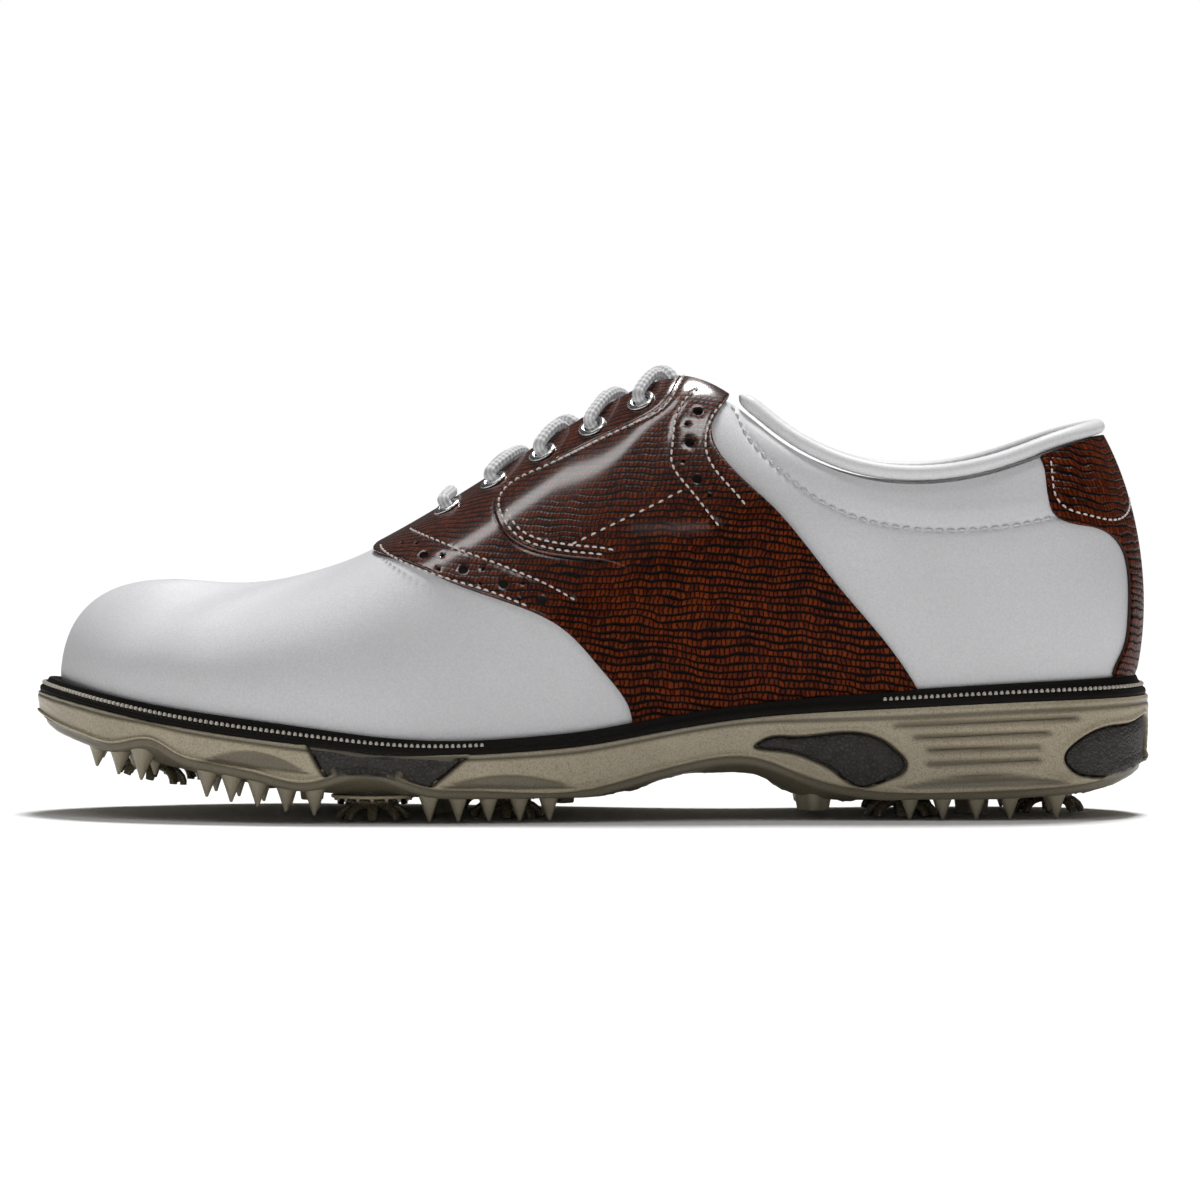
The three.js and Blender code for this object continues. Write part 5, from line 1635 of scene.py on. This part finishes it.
def lens_depth(x, z):
    """Shallow lens-shaped facets above the lip."""
    depth = np.zeros_like(x)
    for x0, z0, x1, z1, rise in LENSES:
        t = np.clip((x - x0) / (x1 - x0), 0, 1)
        base = z0 + (z1 - z0) * t
        arc = base + rise * np.sin(np.pi * t) ** 0.8
        inside = np.minimum(z - base + 0.4, arc - z)
        depth = np.maximum(depth, 0.75 * smoothstep(0.0, 0.8, inside) * (t > 0) * (t < 1))
    return depth


def inlay_loops(side):
    loops = {}
    for name, outline in INLAYS.items():
        u, k = skin.from_side(outline, side, -0.45, 1.0)
        if name == "heel":
            stations = np.array([on_side(s, side) for s, _ in HEEL_WRAP])
            ks = []
            for s, z in zip(stations, (z for _, z in HEEL_WRAP)):
                column = np.linspace(-0.3, 1, 131)
                ks.append(np.interp(z, skin.point(np.full(131, s), column)[:, 2], column))
            u, k = np.concatenate([u, stations]), np.concatenate([k, ks])
        loops[name] = Line(skin, u, k, step=0.8, loop=True, straight=name == "fore")
    return loops


LOOPS = {side: inlay_loops(side) for _, side in SIDES}


def inlay_field(u, k):
    """Distance outside the nearest inlay of the same side; negative inside it."""
    out = np.full(len(u), 99.0)
    u = np.mod(u, STATIONS)
    for _, side in SIDES:
        mine = side_of(u) == side
        if mine.any():
            nearest = np.min([-loop.distance(u[mine], k[mine]) for loop in LOOPS[side].values()], axis=0)
            out[mine] = nearest
    return out


def skin_height(u, k):
    p = skin.point(u, k)
    x, z = p[:, 0], p[:, 2]
    near = inlay_field(u, k)
    height = np.zeros(len(u))
    on_wall = smoothstep(0.02, 0.1, k)
    for x0, z0, x1, z1 in HEEL_GROOVES:
        d = segment_distance(x, z, x0, z0, x1, z1)
        height -= 0.75 * bell(d, 0.62) * on_wall
        height += 0.22 * bell(d - 1.4, 0.6) * on_wall
    height -= lens_depth(x, z) * on_wall
    height += 0.4 * bell(near - 0.9, 0.6) * on_wall
    height -= 0.55 * smoothstep(0.5, 0.0, near)
    height += 0.35 * bell(k - 0.05, 0.035)
    height -= 0.4 * bell((k - 0.9) * (sole_top(x) - lip(x)), 0.5)
    height += 0.25 * smoothstep(0.955, 0.975, k)
    height -= 0.5 * bell((k + 0.2) * 8, 1.0)
    return height + 0.05 * np.sin(x * 1.9 + z) * np.sin(z * 2.3)


def recess_field(p):
    """Distance in plan from the edges of the cleats' recesses, where the tread lies below their floors."""
    out = np.full(len(p), 99.0)
    for seat, axis in SEATS.values():
        off = p - seat
        flat = off - np.outer(off @ axis, axis)
        low = (off @ axis) < 0.62
        out = np.where(low, np.minimum(out, np.linalg.norm(flat, axis=1) - RECESS), out)
    return out


def skin_painted_shade(u, k):
    """Painted shade: darker under the lip, in grooves and in the facets, under the top edge and round the
    inlays.
    """
    p = skin.point(u, k)
    x, z = p[:, 0], p[:, 2]
    low = 0.75 * smoothstep(0.0, -0.1, k) + 0.9 * lens_depth(x, z)
    low = low + 0.9 * bell((k - 0.9) * (sole_top(x) - lip(x)), 0.6)
    for groove in HEEL_GROOVES:
        low = low + 0.8 * bell(segment_distance(x, z, *groove), 0.7)
    low = low + 0.9 * smoothstep(0.9, 0.0, inlay_field(u, k))
    return np.clip(low, 0, 1)


def build_outsole():
    thickness = 2.7
    rows_low, rows_wall = 12, 34
    panel = Panel(skin, (0.0, float(STATIONS)), 470, rows_low + rows_wall, (-1.0, 1.0))
    rows = np.concatenate([np.linspace(-1, 0, rows_low, endpoint=False), np.linspace(0, 1, rows_wall + 1)])
    for v in panel.bm.verts:
        v.co.y = rows[round((v.co.y + 1) / 2 * (rows_low + rows_wall))]
    panel.refine(lambda u, k: np.where(k > -0.1, 1.2 - np.abs(inlay_field(u, k)), -1.0))
    panel.cut(inlay_field).cut(less(inlay_field, 0.55)).keep(inlay_field)
    recess = lambda u, k: recess_field(skin.point(u, k))
    panel.cut(recess).keep(recess)
    seam = lambda u, k: (u < 1e-4) | (u > STATIONS - 1e-4)
    lengths = lambda u, k: np.stack([u * 29.0, k * 20.0], -1)
    # The low attribute holds the painted shade of the sole's recesses.
    skin_ob = shell(panel, "outsole_skin", skin_height, -thickness, (SOLE, SOLE),
                    weld_at=seam, lengths=lengths, extra={"low": skin_painted_shade})
    build_tread(skin_ob)


def build_tread(skin_ob):
    plate_inset, plate_depth, rib_pitch = 12.0, 4.8, 9.0
    place = across_sole(lambda u: plate_inset)
    plate = Surface(lambda s, v: place(s, v, lambda x, t: tread(x)))
    panel = Panel(plate, (0.004, 12.996), 190, 44)
    flat = lambda s, v: recess_field(plate.point(s, v))
    panel.cut(flat).keep(flat)

    def pattern(s, v):
        """Raised ribs curving across the tread, and a smooth rim."""
        p = plate.point(s, v)
        x, y = p[:, 0], p[:, 1]
        rim = smoothstep(0.0, 0.08, np.minimum(v, 1 - v))
        arc = x + 0.012 * y * y
        ribs = smoothstep(0.35, 0.75, np.sin(arc * 2 * math.pi / rib_pitch))
        waist = bell(x - 35, 16)
        near = np.min([np.linalg.norm(p[:, :2] - seat[:2], axis=1) for seat, _ in SEATS.values()], axis=0)
        clear = smoothstep(RECESS + 0.6, RECESS + 2.6, near)
        return ribs * rim * clear * (1 - 0.6 * waist) * 0.75

    sign = 1 if float(plate.normal(np.array([6.0]), np.array([0.5]))[0, 2]) < 0 else -1
    raised = lambda s, v: sign * pattern(s, v)
    # Painted shade: the tread is darker between its ribs than on them.
    dirt_and_painted_shade = lambda s, v: 0.75 - 0.45 * pattern(s, v)
    ob = shell(panel, "tread_plate", raised, -sign * plate_depth, (SOLE,), lengths=None, extra={"low": dirt_and_painted_shade})
    parts = Parts()
    us = np.linspace(0, TOE, 1301)
    tooth_inset, tooth_radius, fin_radius, tip_radius, hollow = 7.2, 3.8, 3.0, 0.45, 0.1
    for x in EDGE_TEETH:
        for _, side in SIDES:
            u = np.array(on_side(us[np.argmin(np.abs(outline_x(us) - x))], side))
            p, out = edge_point(u, tooth_inset), outwards(u)
            ground = max(0.0, float(tread(x)) - 6.2)
            base = float(tread(p[0])) + 3.0
            lean = out * 0.5
            parts.cone((*(p - lean), base), (*(p + lean), ground), tooth_radius, tip_radius, 18, 1, hollow)
            fin = p - out * 5.5
            fin_tip = max(ground, 0.8) + 1.2
            parts.cone((*fin, base), (*fin, fin_tip), fin_radius, tip_radius, 12, 1, hollow)
    for x, y, half, grounded in LUGS:
        tip = 0.2 if grounded else float(tread(x)) - 3.5
        base = float(tread(x)) + 1.5
        corner = half * 1.35
        profile = rounded_profile([(0.01, base), (corner, base), (corner * 0.82, tip), (0.01, tip)], 0.5)
        square = lambda w, h: 0.13 * np.cos(4 * w)
        rings = lathe_points(profile, 32, np.array([x, y, 0.0]), (0, 0, 1), square)
        parts.add(rings, ring_faces(len(profile), 32, closed_profile=True), 1)
    for seat, axis in SEATS.values():
        outside = RECESS - 0.02
        boss = ((RECESS_WALL, 0.6), (outside, 0.6), (outside, 1.5), (RECESS_WALL, 1.5))
        parts.ring(boss, seat, axis, 64, 0, 0.35)
        a, b, c = axes_of(axis)
        for i in range(16):
            w = 2 * math.pi * i / 16
            spot = seat + (a * math.cos(w) + b * math.sin(w)) * 10.1
            parts.cone(spot + c * 1.0, spot - c * 0.25, 0.75, 0.4, 10, 0, 0.0)
    extra = parts.object("teeth", (SOLE, TOOTH))
    join(skin_ob, [ob, extra], "outsole_moulding")
    piece(skin_ob, "shoe", "sole_plastic", "outsole")


def join(target, others, name):
    """Joins mesh objects into the first one."""
    with bpy.context.temp_override(active_object=target, selected_editable_objects=[target, *others]):
        bpy.ops.object.join()
    target.name = name
    target.data.name = name


def build_inlays():
    for side_name, side in SIDES:
        for name, loop in LOOPS[side].items():
            low = (float(loop.u.min()) - 0.08, float(loop.u.max()) + 0.08)
            span = (float(loop.t.min()) - 0.04, min(float(loop.t.max()) + 0.04, 0.999))
            width = float(np.ptp(loop.p[:, 0])) + 16
            panel = Panel(skin, low, max(int(width / 0.9), 24), 22, span)
            field = lambda u, k, loop=loop: loop.distance(u, k)
            cut_beside(panel, field, (0.5, 0.8, 1.3))
            panel.keep(less(field, 0.5))

            def outer(u, k, loop=loop):
                d = loop.distance(u, k) - 0.5
                return -0.85 + 0.55 * smoothstep(0.0, 3.2, d) - edge_drop(0.4, d)

            ob = shell(panel, f"inlay_pad_{name}_{side_name}", outer, -2.4, (INLAY,), lengths=None)
            piece(ob, "shoe", "inlay_rubber", f"inlay_{name}_{side_name}")


# Inset from the outline, share of the way up from the sole's top to the feather line, and lift in mm.
WELT_PROFILE = (
    (1.0, 0, 0.3), (0.85, 0, 0.9), (1.0, 0, 1.6), (1.5, 0, 2.1), (2.0, 0.12, 1.9), (2.6, 0.3, 1.75),
    (3.1, 0.5, 1.6), (3.5, 0.72, 1.3), (3.9, 0.98, 0.2), (4.6, 1.0, 0.25), (5.2, 1.0, -0.3), (9, 1, -1),
    (13, 1, -1), (13, 0, 0.3),
)


def welt_point(u, inset, share, lift):
    p = edge_point(u, inset)
    low, high = sole_top(p[..., 0]), feather(p[..., 0])
    return np.concatenate([p, (low + (high - low) * share + lift)[..., None]], -1)


def build_welt():
    around = 560
    us = np.arange(around) * STATIONS / around
    knots = np.arange(len(WELT_PROFILE) + 1)
    cycle = np.array(WELT_PROFILE + WELT_PROFILE[:1], float)
    at = np.concatenate([np.linspace(0, 10, 51), np.arange(11, len(WELT_PROFILE))])
    inset, share, lift = (np.interp(at, knots, cycle[:, k]) for k in range(3))
    soft = np.convolve(np.pad(lift, 1, "edge"), (0.25, 0.5, 0.25), "valid")
    lift[1:50] = soft[1:50]
    points = np.array([welt_point(us, i, s, l) for i, s, l in zip(inset, share, lift)])
    faces = ring_faces(len(at), around, closed_profile=True)
    ob = mesh_object("welt_strip", points.reshape(-1, 3), faces, (WELT,))
    piece(finish_mesh(ob, crease=60), "shoe", "welt_rubber", "welt")
    rows = []
    dense = np.linspace(0, STATIONS, 4001)
    p = welt_point(dense, 2.0, 0.17, 2.0)
    s = run_lengths(p)
    bead_pitch, front_end, heel_start = 1.58, -28, 78
    spots = np.arange(0.8, s[-1], bead_pitch)
    p = np.stack([np.interp(spots, s, p[:, k]) for k in range(3)], -1)
    n = np.concatenate([outwards(np.interp(spots, s, dense)) * 0.72, np.full((len(spots), 1), 0.69)], -1)
    for keep in (p[:, 0] < front_end, p[:, 0] > heel_start):
        index = np.flatnonzero(keep)
        for run in np.split(index, np.flatnonzero(np.diff(index) > 1) + 1):
            rows.append((p[run], n[run]))
    capsule_rows("stitches_welt", rows, WELT_THREAD, "shoe", "welt_rubber", 1.0, 0.5)


# ------------------------------------------------------------------ cleats
def build_cleat(name, seat, axis):
    a, b, c = axes_of(axis)
    parts = Parts()
    legs, around = 8, 12
    hub = ((0.01, 0.25), (6.3, 0.25), (6.5, -0.7), (5.6, -1.9), (3.2, -2.1), (0.01, -2.1))
    hub = rounded_profile(hub, 0.35)
    rings = lathe_points(hub, 64, seat, axis, lambda w, h: 0.03 * np.cos(8 * w) * (h < -0.4))
    parts.add(rings, ring_faces(len(hub), 64, closed_profile=True))
    parts.ring(((3.6, 3.5), (4.9, 3.5), (4.9, 0.0), (3.6, 0.0)), seat, axis, 32, 0, 0.25)
    pin = rounded_profile([(0.01, -1.8), (2.0, -1.8), (1.3, -3.3), (0.01, -3.5)], 0.3)
    parts.add(lathe_points(pin, 24, seat, axis), ring_faces(len(pin), 24, closed_profile=True))
    spine = ((2.6, -1.0), (5.0, -1.5), (6.9, -2.2), (8.2, -3.2), (8.9, -4.3), (9.1, -5.2))
    for i in range(legs):
        w = 2 * math.pi * i / legs
        out = a * math.cos(w) + b * math.sin(w)
        across = np.cross(c, out)
        sections = []
        for k, (r, h) in enumerate(spine):
            t = k / (len(spine) - 1)
            half, thick = 1.9 - 0.8 * t, 1.15 - 0.4 * t
            before, after = spine[max(k - 1, 0)], spine[min(k + 1, len(spine) - 1)]
            d = unit(np.subtract(after, before))
            up = out * -d[1] + c * d[0]
            centre = seat + out * r + c * h
            for j in range(around):
                v = 2 * math.pi * j / around
                x = math.copysign(abs(math.cos(v)) ** 0.7, math.cos(v)) * half
                y = math.copysign(abs(math.sin(v)) ** 0.7, math.sin(v)) * thick
                ridge = 0.35 * bell(np.array(x), 0.5) * (y < 0)
                sections.append(centre + across * x + up * (y - float(ridge)))
        last = (len(spine) - 1) * around
        ends = [list(reversed(range(around))), list(range(last, last + around))]
        parts.add(sections, ring_faces(len(spine), around) + ends)
    ob = parts.object(f"cleat_detail_{name}", (CLEAT,), crease=55)
    piece(ob, f"{name}_cleat", "cleat_plastic", f"cleat_{name}")


# ------------------------------------------------------------------ everything, in order
camera_data = bpy.data.cameras.new("camera")
camera_data.lens = 263.1
camera_data.sensor_width = 36
camera_data.clip_end = 50
camera = bpy.data.objects.new("camera", camera_data)
camera.location = (0.0022, -2.4, 0.139)
aim = Vector((0.0022, 0, 0.0585))
camera.rotation_euler = (aim - camera.location).to_track_quat("-Z", "Y").to_euler()
bpy.context.scene.collection.objects.link(camera)
bpy.context.scene.camera = camera

build_vamp()
for side_name, side_sign in SIDES:
    build_quarter(side_name, side_sign)
    build_saddle(side_name, side_sign)
build_backstay()
build_stitches()
build_linings()
build_footbed()
build_binding()
build_tongue()
build_eyelets()
build_lace()
build_outsole()
build_inlays()
build_welt()
for cleat_name, (cleat_point, cleat_axis) in SEATS.items():
    build_cleat(cleat_name, cleat_point, cleat_axis)

CARRIED_OVER = {
    "midsole": FOAM, "shank": STEEL, "cork_filler": CORK, "insole_board": CORK, "toe_puff": STIFFENER,
    "heel_counter": STIFFENER, "collar_padding": FOAM, "receptacle": RECEPTACLE,
}
for node_name, node_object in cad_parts.items():
    for start, material in CARRIED_OVER.items():
        if node_name.startswith(start):
            for slot in node_object.material_slots:
                slot.material = material

# ------------------------------------------------------------------ floor, light
scene = bpy.context.scene
scene.view_settings.view_transform = "Standard"


def build_floor():
    """A wide pale floor."""
    reach, cells = 60.0, 12
    at = np.linspace(-reach, reach, cells + 1)
    points = [(x, y, 0.0) for x in at for y in at]
    faces = []
    for i in range(cells):
        for j in range(cells):
            a = i * (cells + 1) + j
            faces.append([a, a + cells + 1, a + cells + 2, a + 1])
    look = Look("floor_paper", Specular_IOR_Level=0.1)
    paper = look.noise(look.place(), 0.08, 4)
    tone = look.mix(look.map(paper, 0.3, 0.7), (0.92, 0.92, 0.92), (0.94, 0.94, 0.94))
    ob = mesh_object("floor", np.array(points) / MM, faces, (look.done(tone, 0.9),))


def light(kind, name, place, target, power, size=None, angle=None):
    data = bpy.data.lights.new(name, kind)
    data.energy = power
    if size:
        data.shape = "RECTANGLE"
        data.size, data.size_y = size
    if angle:
        data.angle = math.radians(angle)
    ob = bpy.data.objects.new(name, data)
    ob.location = place
    ob.rotation_euler = (Vector(target) - Vector(place)).to_track_quat("-Z", "Y").to_euler()
    scene.collection.objects.link(ob)


build_floor()
light("SUN", "overhead", (0.25, 0.75, 2.0), (0, 0, 0), 3.5, angle=16)
light("AREA", "toe_box", (-0.65, -0.35, 1.8), (0.0, 0.0, 0.08), 5.0, size=(0.4, 1.3))
light("AREA", "heel_box", (0.5, -1.0, 1.9), (0.0, 0.0, 0.08), 5.0, size=(0.8, 0.6))
light("AREA", "front_fill", (0.05, -2.1, 0.25), (0.0, 0.0, 0.06), 2.6, size=(0.6, 0.3))
world = bpy.data.worlds.new("world")
scene.world = world
world.use_nodes = True
tree = world.node_tree
background = tree.nodes["Background"]
background.inputs[0].default_value = (1, 1, 1, 1)
background.inputs[1].default_value = 0.07
seen_directly = tree.nodes.new("ShaderNodeBackground")
seen_directly.inputs[0].default_value = (1, 1, 1, 1)
chooser = tree.nodes.new("ShaderNodeMixShader")
tree.links.new(tree.nodes.new("ShaderNodeLightPath").outputs["Is Camera Ray"], chooser.inputs[0])
tree.links.new(background.outputs[0], chooser.inputs[1])
tree.links.new(seen_directly.outputs[0], chooser.inputs[2])
tree.links.new(chooser.outputs[0], tree.nodes["World Output"].inputs[0])
